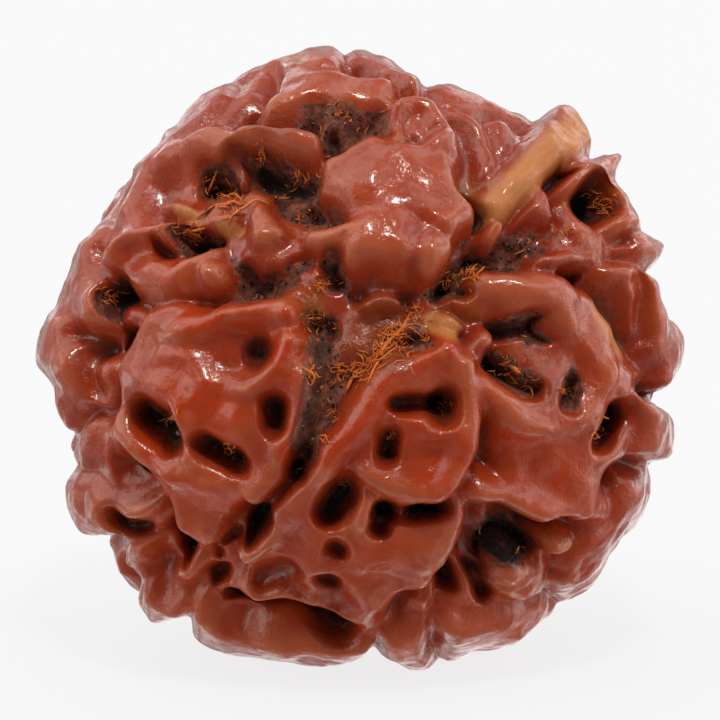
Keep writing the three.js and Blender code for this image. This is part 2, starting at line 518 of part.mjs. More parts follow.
// Bowls, pits and creases: half width, depth and the line that they follow
const PITS = [
  {
    name: 'bowl', half: 1.7, depth: 0.75,
    line: [[-5.2, 0.4], [-4.3, 0.3]],
  },
  {
    name: 'bowl eye', half: 0.8, depth: 1.3,
    line: [[-3.95, 0.25], [-3.9, 0.15]],
  },
  {
    name: 'left pit', half: 0.95, depth: 2.3,
    line: [[-8.3, -2.1], [-7.3, -2.9]],
  },
  {
    name: 'middle pit', half: 0.8, depth: 2,
    line: [[-5.9, -3.4], [-4.9, -3.8]],
  },
  {
    name: 'bank pit', half: 0.7, depth: 1.8,
    line: [[-3.45, -1.9], [-3.35, -2.6]],
  },
  {
    name: 'slot upper', half: 0.55, depth: 1.6,
    line: [[-2, -3.6], [-2.5, -4.5]],
  },
  {
    name: 'slot crease', half: 0.3, depth: 1.2,
    line: [[-2.4, -4.4], [-3.2, -5.3], [-3.6, -5.8]],
  },
  {
    name: 'slot pit', half: 0.6, depth: 2.2,
    line: [[-3.8, -6.1], [-4.5, -7]],
  },
  {
    name: 'slot end', half: 0.3, depth: 1,
    line: [[-5, -7.4], [-6.2, -8], [-6.4, -8.8]],
  },
  {
    name: 'heel pit', half: 0.5, depth: 1.6,
    line: [[-6.2, -9.5], [-6.5, -9.8]],
  },
  {
    name: 'heart slot', half: 0.5, depth: 1.7,
    line: [[1.5, -1.8], [2.9, -1.7]],
  },
  {
    name: 'heart slot end', half: 0.75, depth: 1.6,
    line: [[3.2, -1.5], [3.1, -2.1]],
  },
  {
    name: 'heart pit', half: 0.55, depth: 1.6,
    line: [[1.15, -3.1], [1.1, -3.7]],
  },
  {
    name: 'heart hollow', half: 1.4, depth: 0.5,
    line: [[1.4, -3.4], [2.6, -3.6]],
  },
  {
    name: 'bank hollow', half: 0.85, depth: 2.3,
    line: [[-0.75, -5.2], [-1.1, -6.1]],
  },
  {
    name: 'brow pit left', half: 0.65, depth: 1.8,
    line: [[1, -6.1], [0.8, -6.5]],
  },
  {
    name: 'brow pit right', half: 0.6, depth: 1.5,
    line: [[2.4, -6], [2.9, -6]],
  },
  {
    name: 'brow crease', half: 0.5, depth: 1.2,
    line: [[0.8, -5.9], [2, -6.15], [3.4, -5.9]],
  },
  {
    name: 'small eye', half: 0.5, depth: 1.2,
    line: [[-1.1, -7.4], [-0.9, -7.5]],
  },
  {
    name: 'small eye slope', half: 0.9, depth: 0.5,
    line: [[-1, -7.9], [-0.8, -8.2]],
  },
  {
    name: 'lower eye', half: 0.6, depth: 1.4,
    line: [[-1.4, -8.65], [-1.1, -8.7]],
  },
  {
    name: 'lower eye slope', half: 1.1, depth: 0.9,
    line: [[-1.1, -9.3], [-1, -9.8]],
  },
  {
    name: 'hem hollow', half: 0.8, depth: 1.1,
    line: [[-4, -8.9], [-2.8, -8.4]],
  },
  {
    name: 'hem dip', half: 0.7, depth: 0.8,
    line: [[-2.6, -9.2], [-2.5, -9.5]],
  },
  {
    name: 'under hem', half: 0.9, depth: 2.4,
    line: [[-5.3, -10.5], [-4.4, -10.6], [-3.2, -10.4], [-2, -10.9], [-0.9, -11.3]],
  },
  {
    name: 'flap dimple', half: 0.5, depth: 0.6,
    line: [[1.8, -9.9], [2, -10]],
  },
  {
    name: 'big pit', half: 1.6, depth: 3,
    line: [[5.9, -7.4], [6.2, -7.8]],
  },
  {
    name: 'big pit flank', half: 1.3, depth: 1.1,
    line: [[4.7, -7.2], [4.9, -8.4]],
  },
  {
    name: 'long pit', half: 0.6, depth: 2,
    line: [[3.45, -8.7], [3.7, -9.7]],
  },
  {
    name: 'knob slot', half: 0.36, depth: 1.6,
    line: [[4.75, -8.9], [4.95, -9.6], [5.5, -10.3]],
  },
  {
    name: 'tongue hollow', half: 0.5, depth: 1.4,
    line: [[7.2, -6.85], [8.4, -6.7]],
  },
  {
    name: 'limb crease', half: 0.5, depth: 0.45,
    line: [[8.3, -8.2], [8.3, -9.2]],
  },
  {
    name: 'right eye', half: 0.62, depth: 1.5,
    line: [[5.8, 1.3], [6.6, 1.5], [7.4, 1.2]],
  },
  {
    name: 'basin', half: 2.2, depth: 0.8,
    line: [[6.6, 0.2], [8, -0.4]],
  },
  {
    name: 'basin pit', half: 0.48, depth: 1.3,
    line: [[5.35, 0.2], [5.6, -0.3], [6.2, -0.95], [6.8, -1.1]],
  },
  {
    name: 'basin slit', half: 0.45, depth: 1.2,
    line: [[8.15, -0.85], [8.1, -1.75]],
  },
  {
    name: 'side pit', half: 0.85, depth: 2.2,
    line: [[9.5, -3.1], [10.1, -2.3]],
  },
  {
    name: 'side pit slope', half: 0.9, depth: 0.8,
    line: [[10.2, -2.6], [11, -2.3]],
  },
  {
    name: 'smooth wall', half: 2.2, depth: 0.5,
    line: [[6.6, -4.3], [7.3, -4.1]],
  },
  {
    name: 'corner hollow', half: 0.75, depth: 1.3,
    line: [[10.4, -4.8], [10.8, -4.9]],
  },
  {
    name: 'fin scoop', half: 1.1, depth: 0.9,
    line: [[10.3, 2.3], [10.9, 1.4], [11.4, 0.3]],
  },
  {
    name: 'fin back', half: 0.35, depth: 0.8,
    line: [[11.5, 3.4], [11.95, 1.6], [12, 0.8]],
  },
  {
    name: 'lip hollow', half: 0.55, depth: 1.5,
    line: [[8.3, 3.4], [8.9, 3.5]],
  },
  {
    name: 'plate crust', half: 0.8, depth: 0.3,
    line: [[7.9, 5.6], [8.1, 4.8]],
  },
  {
    name: 'plate hollow', half: 0.9, depth: 2.2,
    line: [[9.4, 6.9], [9.6, 6.2]],
  },
  {
    name: 'band hollow', half: 0.45, depth: 1.3,
    line: [[8, 7.4], [8.6, 7.9]],
  },
  {
    name: 'fork pit', half: 1, depth: 0.9,
    line: [[5.4, 4.2], [6.6, 4.6]],
  },
  {
    name: 'fork crease', half: 0.4, depth: 1.2,
    line: [[3.4, 2.8], [4.1, 3.4], [4.9, 4.3]],
  },
  {
    name: 'knob dimple', half: 0.35, depth: 0.6,
    line: [[10.9, 4.9], [11, 4.8]],
  },
  {
    name: 'red notch', half: 0.5, depth: 1.6,
    line: [[4.35, 6.9], [4.6, 6.2], [4.9, 5.8]],
  },
  {
    name: 'nose crease', half: 0.75, depth: 0.35,
    line: [[2.4, 5.2], [3, 4.7]],
  },
  {
    name: 'nose underside', half: 1.3, depth: 0.9,
    line: [[0.6, 2.9], [1.6, 2.8]],
  },
  {
    name: 'nose cheek', half: 0.7, depth: 0.5,
    line: [[2.1, 4.6], [2.2, 3.6]],
  },
  {
    name: 'arm pit', half: 0.65, depth: 1.2,
    line: [[-1.2, 4.1], [-1, 3.5]],
  },
  {
    name: 'mouth hole left', half: 0.45, depth: 1,
    line: [[-2.1, 1.8], [-2, 1.5]],
  },
  {
    name: 'mouth hole middle', half: 0.4, depth: 0.9,
    line: [[-1.4, 1.7], [-1.3, 1.2]],
  },
  {
    name: 'mouth hole right', half: 0.5, depth: 1.2,
    line: [[2, 0.6], [2.6, 0.7]],
  },
  {
    name: 'mouth corner', half: 0.45, depth: 1,
    line: [[3.9, 3], [4.3, 2.8]],
  },
  {
    name: 'crust pit left', half: 0.9, depth: 1.1,
    line: [[-4.9, 3.6], [-4.2, 2.9]],
  },
  {
    name: 'crust hollow', half: 0.7, depth: 0.6,
    line: [[-3.6, 3.4], [-3, 3.3]],
  },
  {
    name: 'crust pit right', half: 0.6, depth: 0.6,
    line: [[-2.8, 4], [-2.3, 4.1]],
  },
  {
    name: 'central flank', half: 0.8, depth: 0.8,
    line: [[-1.7, 6.2], [-1.3, 5.9]],
  },
  {
    name: 'crown pit', half: 0.9, depth: 2.2,
    line: [[-3.7, 7.85], [-2.7, 7.7], [-2.2, 7.5]],
  },
  {
    name: 'crown pit low', half: 1, depth: 1.3,
    line: [[-3.2, 7], [-2.4, 6.5]],
  },
  {
    name: 'crown crust', half: 1.4, depth: 1.1,
    line: [[-1.5, 9.7], [-0.6, 9.4]],
  },
  {
    name: 'crown crust tail', half: 0.6, depth: 1.4,
    line: [[-1.1, 8.9], [-1, 8.5]],
  },
  {
    name: 'crown under', half: 0.9, depth: 0.7,
    line: [[0.9, 9.7], [1, 9.3]],
  },
  {
    name: 'cup hollow', half: 0.75, depth: 0.7,
    line: [[2.2, 9.7], [2.2, 9.3]],
  },
  {
    name: 'shoulder hollow', half: 0.75, depth: 0.9,
    line: [[-4.6, 10.9], [-4.6, 10]],
  },
  {
    name: 'shoulder pit', half: 0.35, depth: 0.9,
    line: [[-4.75, 9.6], [-4.7, 9.2]],
  },
  {
    name: 'fibre pit upper', half: 0.95, depth: 2,
    line: [[-6.4, 7.6], [-5.6, 7.5]],
  },
  {
    name: 'fibre wall', half: 0.8, depth: 1.6,
    line: [[-5.1, 8], [-4.3, 7.9]],
  },
  {
    name: 'fibre pit lower', half: 0.95, depth: 1.9,
    line: [[-6.9, 5], [-6.6, 4.9]],
  },
  {
    name: 'lobe pit', half: 0.45, depth: 1.2,
    line: [[-8, 4.65], [-7.9, 4.4]],
  },
  {
    name: 'lobe scoop', half: 0.9, depth: 0.5,
    line: [[-9.3, 4.2], [-8.6, 4.4]],
  },
  {
    name: 'knob face', half: 0.5, depth: 0.35,
    line: [[-6.2, 3.5], [-6.1, 3.4]],
  },
  {
    name: 'left limb pit', half: 1, depth: 2.2,
    line: [[-10, 2.8], [-9.8, 2.1]],
  },
  {
    name: 'left limb hollow', half: 0.7, depth: 1.8,
    line: [[-10, 0.75], [-9.6, 0.75]],
  },
  {
    name: 'left limb slope', half: 0.8, depth: 0.8,
    line: [[-11.5, 0.2], [-11.2, -1.2]],
  },
  {
    name: 'fold pit', half: 0.65, depth: 1.6,
    line: [[-9, -4.3], [-8.8, -4.6]],
  },
  {
    name: 'fold scoop', half: 0.9, depth: 0.5,
    line: [[-10.3, -4.5], [-9.6, -4]],
  },
  {
    name: 'limb pit left', half: 0.75, depth: 2.1,
    line: [[-10, -6.6], [-9.1, -6.8]],
  },
  {
    name: 'limb pit right', half: 0.65, depth: 2.2,
    line: [[-8, -7.6], [-7.9, -8.5]],
  },
  {
    name: 'outer notch', half: 0.5, depth: 1,
    line: [[11.9, -1.4], [12.8, -1.6]],
  },
];

// Knobs and lips that stand in the hollows: half width and crest line
const KNOBS = [
  {
    name: 'knob upper', half: 0.36,
    line: [[-6.2, 3.7, 12.75], [-6.15, 3.55, 12.7]],
  },
  {
    name: 'finger knob', half: 0.26,
    line: [[5.35, 4.95, 12], [5.6, 5.3, 12.2]],
  },
  {
    name: 'thin lip', half: 0.14,
    line: [[7.4, 3.95, 12.2], [8.3, 4, 12.35], [9.25, 3.95, 12.4]],
  },
  {
    name: 'brow end', half: 0.6,
    line: [[8.1, 2, 12.7], [8.3, 1.5, 12.5]],
  },
  {
    name: 'lower knob', half: 0.55,
    line: [[6.1, -8.7, 12.5], [6.5, -8.8, 12.5]],
  },
  {
    name: 'shelf left', half: 0.3,
    line: [[-7.6, 6.1, 11.6], [-7, 6.1, 11.6]],
  },
  {
    name: 'shelf right', half: 0.28,
    line: [[-5.8, 5.5, 11.5], [-5.2, 5.5, 11.5]],
  },
  {
    name: 'flake', half: 0.2,
    line: [[0.3, 2.1, 11.6], [0.9, 2.3, 11.7], [1.5, 2.2, 11.6]],
  },
  {
    name: 'orange wall', half: 0.26,
    line: [[-4.5, 7.5, 10.7], [-4.6, 7, 10.8]],
  },
  {
    name: 'cup floor', half: 0.7,
    line: [[2.3, 9.8, 11.9], [2.3, 9.1, 11.9]],
  },
];

// Outline of the whole seed in the front view
const OUTLINE = [
  [12.84, 0.4], [12.65, -0.5], [12.3, -0.9], [11.9, -1.4], [12.3, -2.2], [12.5, -3.2], [12.3, -4],
  [11.5, -4.2], [11.5, -5.2], [11.2, -6.2], [10, -7.5], [9.3, -8.8], [8.1, -9.8], [7.2, -10.4],
  [6.4, -11.2], [5.2, -11.5], [4.4, -11.6], [3.2, -12.1], [2.2, -12.4], [1.6, -12.1], [0.7, -11.3],
  [0, -11.6], [-0.6, -12], [-2, -12.15], [-3.2, -11.9], [-4.8, -11.7], [-6.2, -11.4], [-6.7, -10.6],
  [-6.9, -10.1], [-7.4, -10.3], [-8.2, -10.55], [-8.5, -10.3], [-8.9, -9.5], [-9.6, -8.5], [-10, -7.4],
  [-11.2, -6.9], [-11.5, -6.5], [-11.85, -5.3], [-11.6, -3.6], [-11.4, -2.9], [-11.85, -2], [-12.2, -1],
  [-12.8, -0.2], [-12.83, 0.5], [-12.5, 1.55], [-12, 2.4], [-11.6, 3.3], [-11.45, 3.8], [-11.1, 4.55],
  [-10.6, 4.95], [-10.25, 5.7], [-9.75, 6.5], [-9.3, 7.3], [-8.9, 7.75], [-8.5, 8], [-7.85, 8.6],
  [-7.7, 9], [-7.15, 9.3], [-6.85, 9.85], [-6, 10.65], [-5.05, 11.12], [-4, 11.65], [-3, 12],
  [-2.4, 12.1], [-2, 12.35], [-0.5, 12.42], [0.5, 12.1], [1, 12], [1.6, 11.5], [2.4, 10.85], [2.75, 10.7],
  [3.6, 10.9], [4.6, 10.45], [5.4, 10], [6.5, 9.65], [6.95, 9.35], [7.2, 9.32], [7.5, 9.8], [7.9, 10.22],
  [8.45, 10], [8.8, 9.5], [9.2, 8.95], [9.27, 8.7], [9.05, 8.15], [8.97, 7.8], [9.5, 7.95], [10.1, 8.28],
  [10.45, 8], [10.45, 7.2], [10.8, 6.6], [11.05, 5.6], [11.7, 5.1], [12.13, 4.4], [11.75, 4],
  [11.63, 3.5], [11.75, 2.7], [12.2, 1.9], [12.75, 0.9],
];

// Plain lobes that fill the waist between the front and the rear face, with a pit beside each
const WAIST_COUNT = 15;
const WAIST_POLAR = 104; // degrees from the mouth's axis
const WAIST_SIZE = 2;
const WAIST_RISE = -0.1; // how far their crests stand over the front outline
const WAIST_EDGE = 0.9;
const WAIST_CORNERS = 10;
const WAIST_PIT_HALF = 0.75;
const WAIST_PIT_DEPTH = 1.9;
const WAIST_PIT_LAG = 0.25; // how much further to the rear the pits lie, in radians

// The broad lobe that the seed rests on
const FOOT_POLAR = 107;
const FOOT_SIZE = 3;
const FOOT_CREST = 12.3;

// Grooves that run on from the front face to the rear pole, by their angle in the front view
const GROOVE_ANGLES = [45, 119, 176, 237, 285, 355];
const GROOVE_HALF = 0.65;
const GROOVE_DEPTH = 1.3;
const GROOVE_START = 98;
const GROOVE_END = 162;
const GROOVE_STEPS = 12;
const GROOVE_SWAY = 5; // degrees to either side

// The rear face carries the forms of the front one, turned half a turn about an axis in the front view
const REAR_AXIS = 157.5;
const REAR_LIMIT = 0.3; // forms nearer to the rim than this cosine are not repeated
const REAR_LEFT_OUT = 7; // every seventh pit is left out there

// Share between 0 and 1 that spreads evenly as n counts up
function spread(n, start) {
  return (n * 0.618034 + start) % 1;
}

function degrees(angle) {
  return THREE.MathUtils.degToRad(angle);
}

// Direction at an angle from the mouth's axis and an angle round it
function polarDirection(polar, around) {
  const flat = Math.sin(polar);
  return new THREE.Vector3(flat * Math.cos(around), flat * Math.sin(around), Math.cos(polar));
}

// Direction of a point drawn in the front view at a given radius; past the rim it runs on to the rear
function drawnDirection(x, y, radius) {
  const flat = Math.hypot(x, y);
  const beyond = Math.PI / 2 + (flat - radius) / MAP_RADIUS;
  const polar = flat < radius ? Math.asin(flat / radius) : beyond;
  return polarDirection(polar, Math.atan2(y, x));
}

// Points of a smooth curve through the drawn ones
function smoothPath(points, closed, steps = 3) {
  const knots = points.map(([x, y, z = 0]) => new THREE.Vector3(x, y, z));
  const curve = new THREE.CatmullRomCurve3(knots, closed, 'catmullrom', 0.5);
  const spans = closed ? knots.length : knots.length - 1;
  const path = curve.getPoints(spans * steps);
  return closed ? path.slice(0, -1) : path;
}

// Flat map round the middle of a form, true to the distance from that middle
class Patch {
  constructor(directions) {
    this.middle = new THREE.Vector3();
    directions.forEach((direction) => this.middle.add(direction));
    this.middle.normalize();
    this.side = new THREE.Vector3(0.3, 1, 0.2).cross(this.middle).normalize();
    this.up = this.middle.clone().cross(this.side);
    this.path = directions.map((direction) => this.flat(direction));
    this.reach = Math.max(...this.path.map((point) => point.length()));
  }

  flat(direction) {
    const angle = Math.acos(THREE.MathUtils.clamp(direction.dot(this.middle), -1, 1));
    const point = new THREE.Vector2(direction.dot(this.side), direction.dot(this.up));
    return point.multiplyScalar((MAP_RADIUS * angle) / Math.max(point.length(), 1e-9));
  }

  covers(direction, margin) {
    const limit = Math.min((this.reach + margin) / MAP_RADIUS, 2.6);
    return direction.dot(this.middle) > Math.cos(limit);
  }
}

// Distance to a path, and how many of its points come before the nearest one on it
function lineDistance(point, path, closed) {
  let distance = Infinity;
  let along = 0;
  const spans = closed ? path.length : path.length - 1;
  for (let i = 0; i < spans; i += 1) {
    const run = path[(i + 1) % path.length].clone().sub(path[i]);
    const off = point.clone().sub(path[i]);
    const share = THREE.MathUtils.clamp(off.dot(run) / Math.max(run.lengthSq(), 1e-12), 0, 1);
    const here = off.addScaledVector(run, -share).length();
    if (here < distance) {
      distance = here;
      along = i + share;
    }
  }
  return { distance, along };
}

function isInside(point, path) {
  let inside = false;
  path.forEach((a, i) => {
    const b = path[(i + 1) % path.length];
    const crosses = a.y > point.y !== b.y > point.y;
    if (crosses && point.x < a.x + ((point.y - a.y) * (b.x - a.x)) / (b.y - a.y)) {
      inside = !inside;
    }
  });
  return inside;
}

// Distance to a loop with no crease midway between its sides: each side pulls by the inverse fourth power
function softDistance(point, path) {
  let pull = 0;
  path.forEach((a, i) => {
    const run = path[(i + 1) % path.length].clone().sub(a);
    const length = run.length();
    if (length > 1e-9) {
      const off = point.clone().sub(a);
      const start = -off.dot(run) / length;
      const end = start + length;
      const height = Math.max(Math.abs(off.cross(run)) / length, 0.02);
      const square = height * height;
      pull += (end / (square + end * end) - start / (square + start * start)) / (2 * square);
      pull += (Math.atan(end / height) - Math.atan(start / height)) / (2 * square * height);
    }
  });
  return Math.cbrt(Math.PI / (2 * pull));
}

function smoothMax(a, b, blend) {
  const share = Math.max(blend - Math.abs(a - b), 0) / blend;
  return Math.max(a, b) + (share * share * blend) / 4;
}

// Height of a lobe's wall, which is lower at the seed's side
function wallHeight(toward) {
  const facing = THREE.MathUtils.clamp((Math.abs(toward) - 0.25) / 0.45, 0, 1);
  return THREE.MathUtils.lerp(SIDE_WALL, FRONT_WALL, facing);
}

// Each kind of form gives a function that changes the radius of a place, and how far pits sink it
function lobe(directions, crest, edge) {
  const patch = new Patch(directions);
  const wall = wallHeight(patch.middle.z);
  return (direction, place) => {
    if (!patch.covers(direction, 1)) {
      return;
    }
    const point = patch.flat(direction);
    const inside = isInside(point, patch.path);
    const distance = inside
      ? softDistance(point, patch.path)
      : -lineDistance(point, patch.path, true).distance;
    const rise = THREE.MathUtils.clamp(distance / edge, 0, 1);
    const swell = 1 - THREE.MathUtils.clamp(distance / (SWELL_REACH * edge), 0, 1);
    const rounded = 1 - Math.sqrt(1 - (1 - rise) ** 2);
    const top = crest - wall * rounded - SWELL * swell ** 2 + 5 * Math.min(distance, 0);
    place.radius = smoothMax(place.radius, top, LOBE_BLEND);
  };
}

function ridge(directions, crests, half) {
  const patch = new Patch(directions);
  return (direction, place) => {
    if (!patch.covers(direction, half * 2.2)) {
      return;
    }
    const { distance, along } = lineDistance(patch.flat(direction), patch.path, false);
    const i = Math.min(Math.floor(along), crests.length - 2);
    const crest = THREE.MathUtils.lerp(crests[i], crests[i + 1], along - i);
    const fall = (RIDGE_FALL * distance ** 2) / half + 3 * Math.max(distance - 1.5 * half, 0);
    place.sunk *= 1 - THREE.MathUtils.smoothstep(crest - fall - place.radius, -0.3, 0.3);
    place.radius = smoothMax(place.radius, crest - fall, RIDGE_BLEND);
  };
}

function pit(directions, half, depth) {
  const patch = new Patch(directions);
  return (direction, place) => {
    if (!patch.covers(direction, 1.05 * half)) {
      return;
    }
    const { distance } = lineDistance(patch.flat(direction), patch.path, false);
    const drop = depth * (1 - THREE.MathUtils.smoothstep(distance / half, 0.12, 1.05));
    place.radius -= drop;
    place.sunk += drop;
  };
}

// Rounded outline round a middle direction, a little larger on some sides than on others
function blobDirections(polar, around, size, n) {
  const middle = polarDirection(polar, around);
  const side = new THREE.Vector3(0, 0, 1).cross(middle).normalize();
  const up = middle.clone().cross(side);
  const outline = [];
  for (let k = 0; k < WAIST_CORNERS; k += 1) {
    const turn = (2 * Math.PI * k) / WAIST_CORNERS;
    const reach = (size * (0.85 + 0.4 * spread(k + 3 * n, 0.3))) / MAP_RADIUS;
    const corner = middle.clone().addScaledVector(side, reach * Math.cos(turn));
    outline.push(corner.addScaledVector(up, reach * Math.sin(turn)).normalize());
  }
  return outline;
}

function waistPlace(i) {
  const around = (2 * Math.PI * (i + 0.4 * spread(i, 0.1))) / WAIST_COUNT;
  const polar = degrees(WAIST_POLAR + 5 * (spread(i, 0.7) - 0.5));
  return { around, polar };
}

function waistLobes() {
  const forms = [];
  for (let i = 0; i < WAIST_COUNT; i += 1) {
    const { around, polar } = waistPlace(i);
    const sizes = [-0.15, -0.075, 0, 0.075, 0.15].map((turn) => outlineSize(around + turn));
    const outline = blobDirections(polar, around, WAIST_SIZE, i);
    forms.push(lobe(outline, Math.max(...sizes) + WAIST_RISE, WAIST_EDGE));
  }
  return forms;
}

function waistPits() {
  const forms = [];
  for (let i = 0; i < WAIST_COUNT; i += 1) {
    const { around, polar } = waistPlace(i);
    const beside = around + Math.PI / WAIST_COUNT;
    const lag = polar + WAIST_PIT_LAG;
    const ends = [-0.05, 0.04, 0.12].map((turn) => polarDirection(lag - 2 * turn, beside + turn));
    forms.push(pit(ends, WAIST_PIT_HALF + 0.3 * spread(i, 0.2), WAIST_PIT_DEPTH));
  }
  return forms;
}

function footLobe() {
  const outline = blobDirections(degrees(FOOT_POLAR), -Math.PI / 2, FOOT_SIZE, 0);
  return lobe(outline, FOOT_CREST, WAIST_EDGE);
}

function grooveForms() {
  return GROOVE_ANGLES.map((angle, n) => {
    const directions = [];
    for (let k = 0; k <= GROOVE_STEPS; k += 1) {
      const share = k / GROOVE_STEPS;
      const polar = THREE.MathUtils.lerp(GROOVE_START, GROOVE_END, share);
      const sway = GROOVE_SWAY * Math.sin(2.5 * Math.PI * share + 2 * n) * Math.sin(Math.PI * share);
      directions.push(polarDirection(degrees(polar), degrees(angle + sway)));
    }
    return pit(directions, GROOVE_HALF, GROOVE_DEPTH);
  });
}

// How far a drawn point lies on the seed's side, from 0 to 1
function sideShare(point) {
  return THREE.MathUtils.smoothstep(Math.hypot(point.x, point.y), SIDE_START, SIDE_END);
}

// Directions of a drawn path on the front face, or turned round to the rear one
function onFace(path, radiusAt, rear) {
  const axis = polarDirection(Math.PI / 2, degrees(REAR_AXIS));
  return path.map((point) => {
    const direction = drawnDirection(point.x, point.y, radiusAt(point));
    return rear ? direction.applyAxisAngle(axis, Math.PI) : direction;
  });
}

// Directions of a lobe's outline, which is seen partway down its wall but for the seed's side
function lobeDirections(path, crest, rear) {
  const middle = path.reduce((sum, point) => sum.add(point), new THREE.Vector3());
  const share = Math.min(Math.hypot(middle.x, middle.y) / path.length / crest, 1);
  const wall = wallHeight(Math.sqrt(1 - share * share));
  return onFace(path, (point) => crest - WALL_SHARE * wall * (1 - sideShare(point)), rear);
}

function isOnRear(directions) {
  const middle = directions.reduce((sum, direction) => sum.add(direction), new THREE.Vector3());
  return middle.normalize().z < -REAR_LIMIT;
}

function faceForms(rear) {
  const forms = [];
  const isKept = (directions) => !rear || isOnRear(directions);
  const addRidge = ({ half, line }) => {
    const path = smoothPath(line, false);
    const directions = onFace(path, (point) => point.z, rear);
    if (isKept(directions)) {
      forms.push(ridge(directions, path.map((point) => point.z), Math.max(half, FINEST)));
    }
  };
  LOBES.forEach(({ crest, edge, outline }) => {
    const directions = lobeDirections(smoothPath(outline, true), crest, rear);
    if (isKept(directions)) {
      forms.push(lobe(directions, crest, edge));
    }
  });
  RIDGES.forEach(addRidge);
  PITS.forEach(({ half, depth, line }, n) => {
    const level = PIT_RADIUS - PIT_SHARE * depth;
    const radiusAt = (point) => level + SIDE_GROWTH * sideShare(point);
    const directions = onFace(smoothPath(line, false), radiusAt, rear);
    const isLeftOut = rear && n % REAR_LEFT_OUT === 0;
    if (isKept(directions) && !isLeftOut) {
      forms.push(pit(directions, Math.max(half, FINEST), depth * PIT_DEEPENING));
    }
  });
  KNOBS.forEach(addRidge);
  return forms;
}

// Reads the size of the front outline at any angle round it
function outlineReader() {
  const points = smoothPath(OUTLINE, true, 4).map(({ x, y }) => [Math.atan2(y, x), Math.hypot(x, y)]);
  points.sort((a, b) => a[0] - b[0]);
  const turn = 2 * Math.PI;
  const first = points[0];
  const last = points[points.length - 1];
  points.push([first[0] + turn, first[1]]);
  points.unshift([last[0] - turn, last[1]]);
  return (around) => {
    const angle = Math.atan2(Math.sin(around), Math.cos(around));
    const next = points.findIndex((point) => point[0] > angle);
    const [before, after] = [points[next - 1], points[next]];
    const share = (angle - before[0]) / (after[0] - before[0]);
    return THREE.MathUtils.lerp(before[1], after[1], share);
  };
}

// Small wandering of every direction, so that no edge runs true
function wander(direction) {
  const { x, y, z } = direction.clone().multiplyScalar(MAP_RADIUS);
  const shift = new THREE.Vector3(
    Math.sin(1.9 * y + 1.3 * z) + 0.5 * Math.sin(4.1 * z + 2.3 * x),
    Math.sin(1.7 * z + 1.1 * x + 2) + 0.5 * Math.sin(3.7 * x + 2.9 * y),
    Math.sin(2.1 * x + 1.5 * y + 4) + 0.5 * Math.sin(4.3 * y + 2.1 * z),
  );
  return direction.clone().addScaledVector(shift, 0.006).normalize();
}

// Low swellings and dips, about 3 mm across, all over the surface
function swelling(direction) {
  const { x, y, z } = direction.clone().multiplyScalar(MAP_RADIUS);
  const first = Math.sin(1.7 * x + 0.9 * y + 1) * Math.sin(1.6 * y - 1.1 * z + 2);
  const second = Math.sin(1.9 * z + 1.2 * x + 3) * Math.sin(1.3 * x - 1.8 * y);
  return SWELLING_HEIGHT * (first + second);
}

const outlineSize = outlineReader();
const raisedForms = [...waistLobes(), ...faceForms(true), ...faceForms(false)];
const forms = [...raisedForms, ...grooveForms(), ...waistPits(), footLobe()];

// Largest radius in a direction: the front outline at the side, and an evened one away from it
function rimRadius(direction) {
  const around = Math.atan2(direction.y, direction.x);
  let even = 0;
  for (let k = -4; k <= 4; k += 1) {
    even += outlineSize(around + (RIM_EVENING * k) / 4) / 9;
  }
  const away = THREE.MathUtils.smoothstep(Math.abs(direction.z), RIM_START, RIM_END);
  const size = THREE.MathUtils.lerp(outlineSize(around), even, away);
  return size / Math.max(Math.hypot(direction.x, direction.y), 1e-3) ** RIM_POWER;
}

// Radius in a direction, and how far pits and grooves sink it
function reliefAt(drawn) {
  const direction = wander(drawn);
  const side = THREE.MathUtils.clamp((0.75 - Math.abs(direction.z)) / 0.55, 0, 1);
  const place = { radius: CORE_RADIUS + SIDE_LIFT * side, sunk: 0 };
  forms.forEach((form) => form(direction, place));
  const raised = place.radius + swelling(direction);
  const limited = OUTLINE_BLEND / 4 - smoothMax(-raised, -rimRadius(direction), OUTLINE_BLEND);
  const away = THREE.MathUtils.smoothstep(Math.abs(direction.z), RIM_START, RIM_END);
  const yielding = limited + RIM_YIELD * away * (raised - limited);
  const lifted = Math.max(DEEPEST_RADIUS - yielding, 0);
  return { radius: yielding + lifted, sunk: Math.max(place.sunk - lifted, 0) };
}

// Mean of the relief at a corner and at a ring of places round it
function averageRelief(direction) {
  const side = new THREE.Vector3(0.3, 1, 0.2).cross(direction).normalize();
  const sum = reliefAt(direction);
  for (let k = 0; k < SAMPLE_COUNT; k += 1) {
    const turned = side.clone().applyAxisAngle(direction, (2 * Math.PI * k) / SAMPLE_COUNT);
    const near = direction.clone().addScaledVector(turned, SAMPLE_REACH / MAP_RADIUS).normalize();
    const { radius, sunk } = reliefAt(near);
    sum.radius += radius;
    sum.sunk += sunk;
  }
  return { radius: sum.radius / (SAMPLE_COUNT + 1), sunk: sum.sunk / (SAMPLE_COUNT + 1) };
}

// Moves every corner's value halfway to the mean of its neighbours'
function smoothValues(values, index) {
  const sums = new Float64Array(values.length);
  const counts = new Uint16Array(values.length);
  for (let i = 0; i < index.count; i += 3) {
    for (let k = 0; k < 3; k += 1) {
      const here = index.getX(i + k);
      sums[here] += values[index.getX(i + ((k + 1) % 3))] + values[index.getX(i + ((k + 2) % 3))];
      counts[here] += 2;
    }
  }
  return values.map((value, i) => (value + sums[i] / counts[i]) / 2);
}

// Shift that makes pits run along the mouth's axis, but for the seed's side
function leaning(direction, sunk) {
  const share = LEAN_SHARE * THREE.MathUtils.smoothstep(Math.abs(direction.z), LEAN_START, LEAN_END);
  const along = new THREE.Vector3(0, 0, Math.sign(direction.z));
  return direction.clone().sub(along).multiplyScalar(share * sunk);
}

